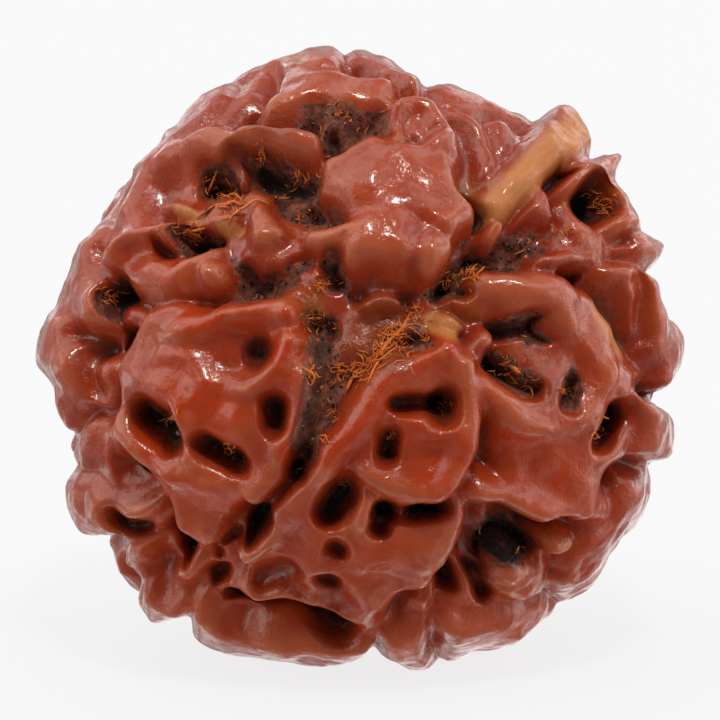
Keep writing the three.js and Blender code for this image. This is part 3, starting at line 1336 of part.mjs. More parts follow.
// The whole seed, stood up with its mouth facing up by MOUTH_TILT and cut flat where it rests
function seedGeometry() {
  const start = new THREE.IcosahedronGeometry(1, DETAIL);
  start.deleteAttribute('normal');
  start.deleteAttribute('uv');
  const geometry = mergeVertices(start, 1e-5);
  const place = geometry.attributes.position;
  const directions = [];
  for (let i = 0; i < place.count; i += 1) {
    directions.push(new THREE.Vector3().fromBufferAttribute(place, i).normalize());
  }
  const reliefs = directions.map(averageRelief);
  let radii = Float64Array.from(reliefs, (relief) => relief.radius);
  let depths = Float64Array.from(reliefs, (relief) => relief.sunk);
  for (let pass = 0; pass < SMOOTHING_PASSES; pass += 1) {
    radii = smoothValues(radii, geometry.index);
    depths = smoothValues(depths, geometry.index);
  }
  const points = directions.map((direction, i) => {
    const lean = leaning(direction, depths[i]);
    return direction.clone().multiplyScalar(radii[i]).add(lean);
  });
  const sides = points.map((point) => point.x);
  const scale = SEED_WIDTH / (Math.max(...sides) - Math.min(...sides));
  const stand = new THREE.Matrix4().makeRotationX(Math.PI / 2 - degrees(MOUTH_TILT));
  const restLevel = (-REST_SHARE * SEED_WIDTH) / 2;
  points.forEach((point, i) => {
    point.multiply(new THREE.Vector3(scale, scale, scale * DEPTH_SHARE)).applyMatrix4(stand);
    if (point.z < restLevel) {
      point.multiplyScalar(restLevel / point.z);
    }
    place.setXYZ(i, point.x, point.y, point.z);
  });
  geometry.computeBoundingBox();
  const { min, max } = geometry.boundingBox;
  geometry.translate(-(min.x + max.x) / 2, -(min.y + max.y) / 2, -min.z);
  geometry.computeVertexNormals();
  return geometry;
}

const shell = new THREE.MeshStandardMaterial({ color: 0x9c3a22, roughness: 0.32, metalness: 0 });
const seed = new THREE.Mesh(seedGeometry(), shell);
seed.name = 'seed';

const part = new THREE.Group();
part.add(seed);

export default part;
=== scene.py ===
# A rudraksha seed on a pale table: one folded, pitted, oiled fruit stone, with fibres and crust in
# its hollows. The seed's forms are laid out in the front view, looking into the mouth: x to the right, y up
# and z out of the mouth, in drawn millimetres. They raise or sink the radius of a fine mesh, which is then
# scaled to the frame's seed and stood up where the frame has it.

import math

import bmesh
import bpy
import numpy as np
from mathutils import Matrix, Vector, noise
from mathutils.bvhtree import BVHTree


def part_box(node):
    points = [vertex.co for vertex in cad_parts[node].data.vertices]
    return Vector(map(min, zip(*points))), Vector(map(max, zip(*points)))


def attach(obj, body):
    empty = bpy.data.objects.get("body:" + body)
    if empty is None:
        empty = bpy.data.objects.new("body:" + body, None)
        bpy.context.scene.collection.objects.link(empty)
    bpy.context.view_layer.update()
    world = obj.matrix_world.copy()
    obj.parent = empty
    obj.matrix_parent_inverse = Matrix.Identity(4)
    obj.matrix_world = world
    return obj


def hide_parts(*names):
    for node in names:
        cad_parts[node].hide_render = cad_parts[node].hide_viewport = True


bl_info = {
    "name": "Rudraksha Seed",
    "version": (1, 0, 0),
    "blender": (4, 5, 0),
    "location": "View3D > Sidebar > Rudraksha",
    "description": "Builds one rudraksha seed with its fibres and crust, and the table it lies on",
    "category": "Add Mesh",
}

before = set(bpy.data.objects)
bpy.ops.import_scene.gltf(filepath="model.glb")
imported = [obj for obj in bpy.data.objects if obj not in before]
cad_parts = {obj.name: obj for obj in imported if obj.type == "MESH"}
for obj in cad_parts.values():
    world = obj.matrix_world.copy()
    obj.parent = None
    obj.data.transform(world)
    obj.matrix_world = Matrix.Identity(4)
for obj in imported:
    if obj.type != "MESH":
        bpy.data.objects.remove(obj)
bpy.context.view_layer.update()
SEED_LOW, SEED_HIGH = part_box("seed")

# Size and stand of the seed
SEED_WIDTH = SEED_HIGH.x - SEED_LOW.x
DEPTH_SHARE = 0.87  # share that the relief keeps along the mouth's direction
MOUTH_TILT = math.radians(15)
OUTWARD = Vector((0, -math.cos(MOUTH_TILT), math.sin(MOUTH_TILT)))  # where the mouth faces
REST_SHARE = 0.9  # height of the seed's middle over the floor, as a share of half its width
MILLIMETRES = 1000  # in a metre

# Guards against dividing by nothing
TINY = 1e-9
TINY_SQUARE = 1e-12
LEAST_HEIGHT = 0.02
LEAST_FLAT = 1e-3

# Mapping and paths
MAP_RADIUS = 12.0  # of the sphere that forms are mapped on, in drawn millimetres
MAP_LIMIT = 2.6  # widest angle that a form reaches from its middle, in radians
MAP_HINT = (0.3, 1.0, 0.2)  # no form's middle lies along this
PATH_STEPS = 3  # points that a smooth path has for each drawn one
FINE_STEPS = 4
GOLDEN_SHARE = 0.618034

# Radii and heights of the relief, in drawn millimetres
CORE_RADIUS = 10.7
SIDE_LIFT = 0.9  # how much higher the core is at the seed's side
DEEPEST_RADIUS = 9.2
SWELLING_HEIGHT = 0.13  # of the low swellings all over the seed
WANDERING = 0.006  # shift of every direction, as a share of the radius

# Where changes start and end, by how far a direction points forward or back: 0 at the side, 1 at the poles
CORE_REACH = (0.75, 0.2)
WALL_REACH = (0.25, 0.7)
LEAN_REACH = (0.15, 0.5)
RIM_REACH = (0.15, 0.42)

# Lobes, in drawn millimetres and shares
WALL_SHARE = 0.55  # how far down its wall a lobe's outline is seen
FRONT_WALL = 1.9
SIDE_WALL = 1.1
LOBE_MARGIN = 1  # how far outside its outline a lobe changes the surface
LOBE_FOOT = 5  # slope outside the outline
LOBE_BLEND = 0.35
SWELL = 0.55  # how far a lobe's surface bends down towards its edge
SWELL_REACH = 3.2  # how far in that bend starts, in widths of the edge

# Ridges, whose reaches are in half widths
RIDGE_FALL = 0.95  # fall at one half width, as a share of it
RIDGE_REACH = 2.2
RIDGE_FLANK = 3  # further slope of the foot
RIDGE_FLANK_START = 1.5
RIDGE_FILL = (-0.3, 0.3)  # heights over the ground between which a ridge fills a pit
RIDGE_BLEND = 0.7
NARROW_BLEND = 1.3  # blend of a narrow ridge, in half widths

# Pits, and how they lean to run along the view
PIT_RADIUS = 12.3  # where a pit's line is seen
PIT_SHARE = 0.1  # how much lower a pit is seen for its depth
PIT_WALL = (0.12, 1.05)  # where the wall starts and ends, in half widths
SIDE_REACH = (9.0, 12.5)  # distances from the view's middle between which the seed's side starts
SIDE_GROWTH = 1.2  # how much further out a pit's line is seen at the side
LEAN_SHARE = 0.75  # 0 for a pit towards the seed's middle, 1 along the view

# The limit that the front outline sets
RIM_POWER = 0.6  # how fast the limit rises away from the rim
RIM_EVENING = 0.4  # how far either way the outline is evened out, in radians
RIM_EVENING_STEPS = 9
RIM_YIELD = 0.15  # share of what stands over the limit that stays there, away from the rim
OUTLINE_BLEND = 0.4

# Lobes, pits and grooves of the waist and the rear, with angles in degrees but for those in radians
WAIST_COUNT = 15
WAIST_POLAR = 104
WAIST_POLAR_SPREAD = 5
WAIST_SHIFT = 0.4  # most that a lobe is moved along, in spaces between lobes
WAIST_SIZE = 2.0
WAIST_SIZES = (0.85, 0.4)  # least share of that size at a corner, and how much more it can be
WAIST_RISE = -0.1
WAIST_RISE_REACH = 0.15  # how far either way a lobe's crest follows the outline, in radians
WAIST_EDGE = 0.9
WAIST_CORNERS = 10
WAIST_PIT_HALF = 0.75
WAIST_PIT_MORE = 0.3  # most that a pit's half width grows
WAIST_PIT_DEPTH = 1.9
WAIST_PIT_LAG = 0.25  # how far behind the lobes the pits lie, in radians
WAIST_PIT_TURNS = (-0.05, 0.04, 0.12)  # the line of a pit, in radians
FOOT_POLAR = 107
FOOT_SIZE = 3.0
FOOT_CREST = 12.3
GROOVE_ANGLES = (45, 119, 176, 237, 285, 355)
GROOVE_HALF = 0.65
GROOVE_DEPTH = 1.3
GROOVE_START = 98
GROOVE_END = 162
GROOVE_STEPS = 12
GROOVE_SWAY = 5
GROOVE_WAVES = 1.25
REAR_AXIS = 157.5  # the front is turned half round this line to make the rear
REAR_LIMIT = 0.3  # how far back a form's middle has to lie
REAR_LEFT_OUT = 7  # each pit of so many is left out

# The fine mesh
CUBE_CUTS = 127
FRONT_SHARE = 0.8  # how far its corners are drawn together towards the mouth
SMOOTH_PASSES = 3
HOLLOW_PASSES = 250  # even the surface out to the ground that hollows lie below
DUG_SHARE = 0.7  # least depth of a pit, as a share of what its form digs

# Lumps, ripples and crumbly crust on it, in drawn millimetres
LUMP_SIZE = 1.0
LUMP_HEIGHT = 0.12
RIPPLE_SIZE = 0.45
RIPPLE_HEIGHT = 0.04
CRUMBLE_SIZE = 0.3
CRUMBLE_HEIGHT = 0.16
CRUMBLY_DEPTHS = (0.7, 1.3)  # where crust starts to crumble and fully does

# Crust and patches of colour: depths are in drawn millimetres, and fades in half widths
OPEN_CRUST_DEPTHS = (0.1, 0.5)
PIT_CRUST_DEPTHS = (1.0, 1.6)
RAGGED_CRUMBS = 0.5  # how much the crumbs fray the crust's edge
RAGGED_FROM = 0.5  # share of crust from which its edge is fully ragged
CRUST_FACE_SHARE = 0.7  # least share of crust on a face with the crust's finish
PATCH_REACH = 1.5
PATCH_FADE = (0.55, 1.35)
# Fade of the painted shade in the dark hollows
PAINTED_SHADE_FADE = (0.3, 1.3)
TINTS = ("tan", "amber", "rust", "maroon_and_shade")

# Fibres and crumbs
FLOOR_GAP = 0.001  # least height of a crumb's or loose fibre's place, in metres
FILLED_SHARE = 0.6  # least share of crust where one lies
VIEW_START = 15  # distance from which the front view's points are cast, in drawn millimetres
FIBRE_DRAWS = 5  # start of the random draws
FIBRE_WIDTHS = (0.6, 1.6)  # shares of the setting
FIBRE_LENGTHS = (0.3, 1.1)  # shares of the tuft's length
FIBRE_LIFTS = (0.04, 0.3)  # in drawn millimetres
LOOSE_LENGTH = 0.5  # in drawn millimetres
WALK_STEPS = 5
WALK_TURN = 0.35  # how strongly a fibre turns at each step
WALK_LIFT = 0.3  # share of the lift that a fibre has from its first step
TIP_WIDTH = 0.25  # width where a strand would run out, as a share of its middle's
TIP_STEP = 0.4  # how far beyond a strand's end that is, in steps
CRUMB_DRAWS = 11  # start of the random draws
CRUMB_SHAPES = (0.6, 1.2)  # stretch along each axis
CRUMB_SIZES = (0.4, 1.0)  # shares of the setting

# The surroundings: where a change starts and ends by direction, and the first and last level
VIEWER_SIDE = (0, -0.99, 0.13)
VIEWER_STEPS = (0.4, 0.84, 1.0, 0.08)
BELOW_REACH = (-0.4, 0.1)
BELOW_STEPS = (-0.4, 0.5, 0.14, 0.6)
ABOVE_STEPS = (0.0, 0.9, 1.0, 0.7)
BEHIND_REACH = (-0.2, 0.9)
CLOUD_SHIFT = (-0.7, 0.3, 0.5)
CLOUD_SCALE = 2.6
CLOUD_STEPS = (0.46, 0.56, 0.4, 1.65)
BACKDROP = 0.92  # level that the camera itself sees
LAMP_SIDE = (0.1, -0.4, 0.92)
FLOOR_PATCHES = 60.0  # size of the table's faint patches, in millimetres
FLOOR_DIMMING = 0.99

# Lobes of the front face: crest radius, width of the rounded edge and outline
LOBES = [
    ("crust floor", 11.2, 0.8, [
     (-5.2, 2.6), (-5.2, 4), (-4.6, 4.8), (-3, 5), (-2, 4.8), (-0.8, 4.4), (-0.4, 2.8), (-1.6, 2.1),
     (-2.8, 1.8), (-4.2, 2)]),
    ("mouth floor", 11.1, 0.9, [
     (-0.8, 2.2), (0.4, 2.5), (1.6, 2.3), (2.2, 1.6), (2.4, 0.9), (1.6, 0), (0.6, -0.6), (-0.5, -0.9),
     (-1.6, -1.6), (-2.2, -0.8), (-1.7, 0.4), (-1.2, 1.4)]),
    ("fibre floor", 11.1, 0.8, [
     (-7.9, 6.6), (-7.9, 5.4), (-7, 4.7), (-5.6, 4.8), (-4.4, 5), (-3.9, 6.2), (-4.4, 7.4), (-5.4, 7.2),
     (-6.6, 6.7)]),
    ("crust shelf", 11.3, 0.6, [
     (-3.2, 6.6), (-2.2, 7), (-1.5, 6.6), (-0.8, 5.7), (-2.2, 5.2), (-3.1, 5.4)]),
    ("fork floor", 11, 0.7, [
     (4.2, 5.4), (5.2, 5.5), (7.4, 5.2), (7.6, 4), (6, 3.2), (4.4, 3.2), (3.8, 4)]),
    ("lower right ground", 12, 0.8, [
     (4.3, -6), (5.6, -6), (6.9, -6.2), (8.2, -6.4), (9.2, -6.8), (8.6, -8), (7.9, -9.6), (6.6, -10.2),
     (5, -10.5), (3.1, -10.6), (2.9, -9.6), (3.1, -8.7), (3.8, -8), (4.1, -7.2)]),
    ("left lobe", 12.4, 1.15, [
     (-8.4, 2.1), (-8.95, 1.1), (-9.3, 0.4), (-9.4, -0.6), (-9.25, -1.6), (-9.8, -2.3), (-9.95, -3.1),
     (-9.5, -3.8), (-8.7, -4.6), (-7.9, -5), (-7.35, -5.6), (-7.3, -6.4), (-6.7, -7), (-6, -7.6),
     (-5.5, -7.8), (-5.2, -7.2), (-4.9, -6.4), (-4.2, -5.8), (-3.4, -5.2), (-2.8, -4.4), (-2.45, -3.4),
     (-2.2, -2.2), (-2, -1.2), (-1.9, -0.2), (-1.9, 0.6), (-2.2, 1.5), (-2.7, 2.1), (-3.4, 2.2),
     (-4.4, 2), (-5.5, 2.2), (-6.5, 2.5), (-7.5, 2.5)]),
    ("upper left lobe", 12.4, 1, [
     (-9.8, 6.7), (-10.35, 5.2), (-10.55, 4.4), (-10.1, 3.5), (-9.5, 2.8), (-9, 2.2), (-8.2, 2),
     (-7.2, 2.1), (-5.8, 2.2), (-5, 2.5), (-5.1, 3.3), (-5.2, 4.2), (-5.4, 4.6), (-6, 4.5), (-6.7, 4.1),
     (-7.4, 4.5), (-7.7, 5.2), (-8, 5.9), (-7.8, 6.7), (-7.8, 7.4), (-8, 8.2), (-8.5, 8.4), (-9.2, 7.8)]),
    ("upper left shoulder", 12.25, 0.7, [
     (-8.2, 8.1), (-7, 8.8), (-6.2, 9.5), (-5.6, 10.1), (-5.3, 10.6), (-5, 11.2), (-4, 12), (-3, 12.3),
     (-3.1, 11.6), (-3.5, 11), (-3.6, 10.5), (-4.3, 9.9), (-4.5, 9.2), (-4.5, 8.5), (-5.4, 8.3),
     (-6.6, 8.3)]),
    ("rear left shoulder", 12.85, 0.7, [
     (-9.2, 7.8), (-8.1, 8.5), (-7, 9), (-6.3, 9.6), (-5.7, 10.2), (-5.2, 11.2), (-5.6, 12.4), (-8, 11.4),
     (-10.2, 8.8)]),
    ("crown", 12.7, 0.9, [
     (-4.62, 8.85), (-4.6, 9.6), (-4.3, 10), (-3.7, 10.5), (-3.65, 11), (-3.6, 11.4), (-3.2, 11.8),
     (-2.4, 12.1), (-1.3, 11.95), (-0.5, 11.75), (0.6, 11.5), (1.2, 11.5), (1.75, 11.1), (1.97, 10.6),
     (1.6, 10.1), (1.5, 9.4), (1.4, 8.9), (0.8, 9.1), (0.1, 8.9), (-0.5, 8.5), (-1.2, 8.2), (-1.7, 8.5),
     (-1.75, 8.9), (-2.1, 9.2), (-3.2, 9.2), (-4.2, 8.8)]),
    ("crown rear", 13.1, 0.5, [
     (-3.2, 12), (-2.2, 12.1), (-1, 12.1), (-0.6, 12), (-0.8, 13.2), (-2.6, 13.4), (-3.8, 12.8)]),
    ("crown rear knob", 12.8, 0.5, [
     (-0.55, 12.1), (-0.1, 12.2), (0.6, 12), (0.8, 11.5), (1.3, 11.6), (1.9, 11), (2.6, 10.8),
     (2.6, 12.2), (0.8, 13.4), (-0.8, 13.2)]),
    ("top right rear", 12.2, 0.8, [
     (2, 10.6), (2.6, 10.4), (3.2, 9.9), (4, 9.7), (4.6, 9.5), (5.3, 9.85), (6, 9.5), (6.9, 9.2),
     (7.4, 9.4), (7.2, 10.6), (5, 11.8), (2.9, 12.4), (2.7, 11.4)]),
    ("band root lobe", 12.15, 0.8, [
     (3, 9.9), (4.1, 9.7), (4.7, 9.2), (4.95, 8.8), (5.2, 8.2), (5.6, 7.6), (5.3, 6.9), (4.9, 6.5),
     (4.3, 7), (4.1, 8), (3.7, 8.9), (3.1, 9.2)]),
    ("band shoulder", 12.3, 0.7, [
     (4.6, 9.45), (5.4, 9.85), (5.85, 9.6), (6.3, 9.4), (7, 9.1), (7.2, 8.8), (6.3, 8.1), (5.6, 7.7),
     (5.1, 8.1), (4.8, 8.9)]),
    ("horn", 13.4, 0.6, [
     (7.1, 9.2), (7.4, 9.9), (7.9, 10.8), (8.9, 10.6), (9.7, 9.5), (9.7, 8.6), (9.1, 8.1), (8.7, 8.4),
     (8.3, 9), (7.8, 9.3)]),
    ("spike lobe", 12.5, 0.45, [
     (6.5, 6.55), (6.9, 6.75), (7.2, 6.6), (7.4, 6.1), (7.45, 5.4), (7.5, 4.8), (7.1, 4.9), (6.6, 5.2),
     (6.1, 5.1), (6, 5.5), (6.3, 6)]),
    ("plate fin", 12.45, 0.8, [
     (7.35, 6.8), (8, 7.1), (8.6, 7.15), (8.9, 6.8), (8.8, 6.2), (9.1, 5.85), (9.6, 5.65), (10.3, 5.6),
     (10.8, 5.3), (10.9, 4.7), (11.2, 4.2), (11.6, 3.6), (11.6, 2.8), (11.2, 3.1), (10.6, 3.5),
     (9.8, 3.5), (9.3, 3.2), (8.9, 2.9), (8.2, 3.3), (7.4, 3.7), (7.3, 4.6), (7.4, 5.6)]),
    ("tooth", 13.9, 0.6, [
     (8.7, 7.6), (9.3, 8.4), (9.9, 9.2), (11.2, 9.2), (11, 7.4), (11.6, 6.6), (12, 5.8), (11.3, 5.2),
     (10.6, 5.5), (10.35, 6.2), (10.3, 6.9), (10, 7.4), (9.5, 7.4), (9.1, 7.2)]),
    ("side knob", 13.55, 0.6, [
     (10.9, 5.1), (11.3, 5.5), (12.1, 5.4), (12.9, 4.6), (12.5, 3.9), (11.7, 3.9), (11.2, 4.3),
     (10.9, 4.6)]),
    ("right rear limb", 13.35, 0.7, [
     (11.3, 4), (12.2, 3.8), (12.6, 2.8), (13.3, 1.4), (13.7, 0.2), (13.2, -1.2), (12.4, -1.3),
     (12.4, -0.4), (11.8, 0.6), (11.75, 1.5), (11.4, 2.6)]),
    ("scooped fin", 12.55, 0.5, [
     (9.3, 3.4), (10, 3.6), (10.7, 3.6), (11.15, 3.25), (11.45, 2.7), (11.75, 1.6), (11.7, 0.9),
     (12.1, 0.3), (12.45, -0.2), (12.3, -0.9), (11.9, -1.3), (11.5, -1.1), (11.1, -0.1), (10.2, 1),
     (9.5, 2), (9.2, 2.7)]),
    ("right lobe", 12.5, 1.05, [
     (4.9, 3.1), (5.8, 3.4), (6.6, 3.5), (7.4, 3.6), (8.1, 3.2), (8.8, 2.7), (9.3, 2.1), (9.8, 1.7),
     (10.2, 1.1), (10.8, 0.5), (11.3, -0.1), (11.6, -0.8), (11.45, -1.5), (11.6, -2.2), (11.75, -2.9),
     (11.5, -3.5), (11.1, -3.8), (10.6, -4.3), (10.1, -4.6), (9.95, -5), (10.3, -5.6), (10.1, -6.2),
     (9.5, -6.6), (8.9, -6.9), (8.5, -6.45), (7.9, -6.45), (7.4, -6.65), (7, -6.3), (6.4, -5.95),
     (5.5, -5.95), (4.8, -5.8), (4.8, -5), (5, -4), (4.95, -3), (4.9, -2), (4.8, -1), (5.1, -0.4),
     (5.3, 0.6), (5.2, 1.5), (4.8, 2.1), (4.6, 2.7)]),
    ("middle lower lobe", 12.2, 0.9, [
     (-1.5, -3.8), (-2.2, -4.5), (-2.8, -5.2), (-3.2, -6), (-3.8, -7), (-4.7, -7.8), (-5.4, -8.05),
     (-6, -8.2), (-6.3, -8.6), (-5.9, -9.2), (-5.9, -10), (-5.9, -10.45), (-5.3, -10.2), (-4.9, -9.9),
     (-4.4, -10), (-4, -10.25), (-3.75, -9.9), (-3.4, -9.6), (-3, -9.5), (-2.6, -9.8), (-2.1, -10.1),
     (-1.3, -10.5), (-0.4, -10.9), (0.4, -11.15), (1.1, -11.1), (1.3, -10.3), (1.6, -9.4), (1.9, -9),
     (2.6, -8.6), (3.3, -8), (3.7, -7.5), (4.1, -6.9), (4.3, -6.2), (4.3, -5.2), (3.6, -4.8), (2, -4.6),
     (0.4, -4.2), (-0.6, -3.6)]),
    ("heart lobe", 12.5, 1, [
     (3.8, 0.75), (4.4, -0.4), (4.65, -1.6), (4.8, -3.1), (4.4, -4.4), (3.6, -5.4), (2.7, -5.9),
     (1.7, -5.8), (0.7, -5.3), (-0.1, -4.7), (-0.8, -4.4), (-1.4, -4.1), (-1.7, -3.9), (-0.9, -3.3),
     (-0.3, -2.7), (0.4, -1.7), (1.4, -0.7), (2.6, 0)]),
    ("flap", 12.15, 0.5, [
     (1.8, -9.1), (2.4, -8.7), (2.9, -8.7), (3, -9.5), (2.95, -10.2), (2.4, -10.6), (1.6, -11.05),
     (1, -11.2), (0.9, -10.6), (1.4, -9.8)]),
    ("bottom lobe", 13.1, 0.7, [
     (-7.1, -9.9), (-7.2, -10.8), (-7.2, -11.8), (-7.2, -12.8), (-4.5, -13.2), (-2, -13.8), (0.2, -13.4),
     (0.6, -11.9), (0.5, -11.5), (-0.4, -11.4), (-1.5, -11.3), (-2.8, -11.3), (-4, -11.2), (-5, -11.2),
     (-5.8, -10.8), (-6.2, -10.3), (-6.5, -9.9)]),
    ("bottom rear lobe", 13.05, 0.7, [
     (0.8, -11.2), (1.6, -11.1), (2.6, -10.7), (3, -10.9), (3.1, -11.9), (3.4, -13), (2.6, -14.2),
     (1.2, -14), (0.8, -12.4)]),
    ("lower right foot", 12.95, 0.8, [
     (3, -10.6), (3.6, -10.3), (4.4, -10.5), (5.2, -10.3), (6.2, -10.1), (7.2, -10), (7.9, -9.7),
     (8.6, -10.6), (7.2, -12.4), (5.4, -13.6), (3.4, -13.8), (3.1, -12.2), (3, -11.4)]),
    ("knob lobe", 12.8, 0.7, [
     (5.15, -9.5), (5.2, -9.1), (5.6, -8.8), (5.6, -8.3), (6.1, -8.05), (6.6, -8.1), (7.2, -7.9),
     (7.9, -8.1), (7.95, -8.8), (7.9, -9.4), (7.4, -9.8), (6.8, -10.1), (6, -9.95), (5.5, -9.9)]),
    ("lower tongue", 12.95, 0.45, [
     (7.05, -7.4), (7.3, -7.05), (8, -6.95), (8.8, -7), (9, -7.3), (8.6, -7.7), (8, -7.9), (7.3, -7.8)]),
    ("long limb lobe", 13.1, 0.8, [
     (11.6, -4.4), (11, -4.8), (10.5, -5.6), (10.2, -6.3), (9.6, -6.8), (9, -7.4), (8.6, -8), (8, -8.6),
     (7.9, -9.4), (8.2, -10.2), (9.6, -11), (11.6, -9.4), (13, -7), (13.2, -5), (12.4, -4.3)]),
    ("limb knob", 13.4, 0.6, [
     (11.3, -1.6), (12.1, -1.4), (13.2, -2.2), (13.6, -3.4), (12.9, -4.5), (11.7, -4.3), (11.3, -3.8),
     (11.75, -3), (11.5, -2.2)]),
    ("left limb lobe", 12.7, 0.8, [
     (-12.3, 1), (-12.6, 2), (-12.6, 3.6), (-12, 5.2), (-11, 6.2), (-10.2, 5.6), (-10.5, 4.4),
     (-10.1, 3.6), (-9.5, 2.8), (-8.9, 2.2), (-8.7, 1.7), (-9.2, 1.2), (-10.2, 1.2), (-10.9, 0.9),
     (-11.4, 0.9)]),
    ("left lower limb lobe", 12.8, 0.6, [
     (-11.9, 0.85), (-11.2, 0.7), (-10.9, 0.1), (-10.8, -0.6), (-11, -1.6), (-11.3, -2.3), (-11.7, -3.1),
     (-12.8, -2.8), (-13.2, -1.4), (-12.6, 0.2)]),
    ("far left rear lobe", 13.45, 0.6, [
     (-12.4, 1.9), (-12.35, 1), (-12, 0.3), (-11.9, -0.3), (-12.1, -0.9), (-12.6, -1.2), (-13.6, -0.8),
     (-14.2, 0.6), (-13.6, 2.2)]),
    ("knuckle", 12.3, 0.6, [
     (-10.2, 0.35), (-9.6, 0.3), (-9.3, -0.2), (-9.2, -1.2), (-9.5, -1.8), (-10, -2.1), (-10.6, -2.1),
     (-11, -1.9), (-10.9, -1.2), (-10.65, -0.4)]),
    ("lower left lobe", 12.25, 0.75, [
     (-10.7, -2), (-10, -2), (-9.3, -1.9), (-8.8, -2.2), (-9.2, -3.4), (-8.6, -4.6), (-8.2, -5),
     (-8.6, -5.65), (-9.4, -5.7), (-10.2, -5.5), (-10.8, -5.1), (-11.35, -4.7), (-11.7, -4),
     (-11.7, -3.2), (-11.4, -2.5)]),
    ("lower left limb lobe", 13.2, 0.7, [
     (-11.4, -4.7), (-10.7, -5.2), (-10, -5.55), (-9.2, -5.75), (-8.6, -5.7), (-8.1, -5.4), (-8.3, -6.2),
     (-8.6, -6.9), (-9, -7.5), (-9.8, -7.5), (-10.8, -7.6), (-12.4, -8.2), (-13.6, -6.6), (-12.8, -4.8)]),
    ("lower left fold", 12.35, 0.6, [
     (-10, -7.3), (-9.3, -7.3), (-8.9, -7), (-8.4, -6.4), (-8.1, -7), (-8.2, -7.8), (-8, -8.5),
     (-7.2, -8), (-6.7, -7.8), (-6.3, -8.2), (-6.3, -8.9), (-6.8, -9.6), (-7.3, -10), (-8.2, -9.9),
     (-9, -9.4), (-9.9, -9.2), (-11.2, -9), (-11, -7.8)]),
    ("lower left rear bump", 13.4, 0.6, [
     (-9, -9.35), (-8.2, -9.85), (-7.4, -10), (-7.1, -10.5), (-7.8, -11.8), (-9.2, -11.8), (-10, -10.4)]),
    ("tongue lobe", 12, 0.7, [
     (-4.5, 4.7), (-4.5, 5.4), (-4.25, 6), (-3.9, 6.3), (-3.5, 6.15), (-3.15, 5.6), (-2.8, 5.2),
     (-2.5, 4.7), (-3, 4.25), (-3.5, 3.95), (-3.9, 3.9), (-4.2, 4.2)]),
    ("central lobe", 12.55, 1.1, [
     (-1.75, 7.3), (-1.3, 8), (-0.6, 8.4), (-0.1, 8.8), (0.6, 9.1), (1.2, 8.85), (1.6, 8.45), (2, 8.35),
     (2.4, 8.7), (2.9, 9.2), (3.4, 9.3), (3.9, 9), (4.15, 8.5), (4.3, 8), (4.05, 7.4), (4.05, 6.8),
     (4.25, 6.3), (4.6, 5.8), (4.65, 5.2), (4.2, 4.7), (3.8, 4.3), (3.7, 3.8), (3.3, 3.2), (2.6, 2.8),
     (1.8, 2.4), (1, 2.3), (0.3, 2.4), (-0.2, 3), (-0.7, 3.6), (-0.9, 4.2), (-0.8, 4.9), (-0.9, 5.5),
     (-1.3, 6.1), (-1.8, 6.5)]),
    ("nose", 13, 0.9, [
     (-0.9, 5.1), (-0.2, 5.8), (0.7, 6.1), (1.5, 6.2), (2, 5.8), (2.6, 5.3), (3.4, 4.9), (3.85, 4.4),
     (3.75, 3.7), (3.3, 3.2), (2.6, 2.9), (1.9, 3), (1.2, 3.3), (0.4, 3.3), (-0.2, 3.3), (-0.8, 3.7),
     (-1, 4.4)]),
    ("amber blob left", 11.9, 0.6, [
     (-3.4, 2), (-2.9, 2.7), (-2.5, 3), (-2, 3), (-1.6, 2.6), (-1.65, 2.1), (-2.3, 1.9), (-2.7, 1.6)]),
    ("amber lump", 11.8, 0.6, [
     (2.9, 2.1), (3.2, 2.8), (3.9, 2.8), (4.6, 2.6), (4.9, 2), (4.5, 1.5), (3.9, 1.5), (3.3, 1.8)]),
    ("amber blob right", 12, 0.55, [
     (2.65, 1.4), (2.9, 1.85), (3.4, 2), (3.8, 1.7), (4.15, 1.3), (3.9, 0.9), (3.3, 0.8), (2.8, 0.95)]),
    ("small tongue", 12.1, 0.5, [
     (4, 1), (4.4, 1.4), (4.9, 1.3), (5.25, 0.7), (5.1, 0), (4.6, -0.4), (4.1, -0.2), (3.9, 0.4)]),
]

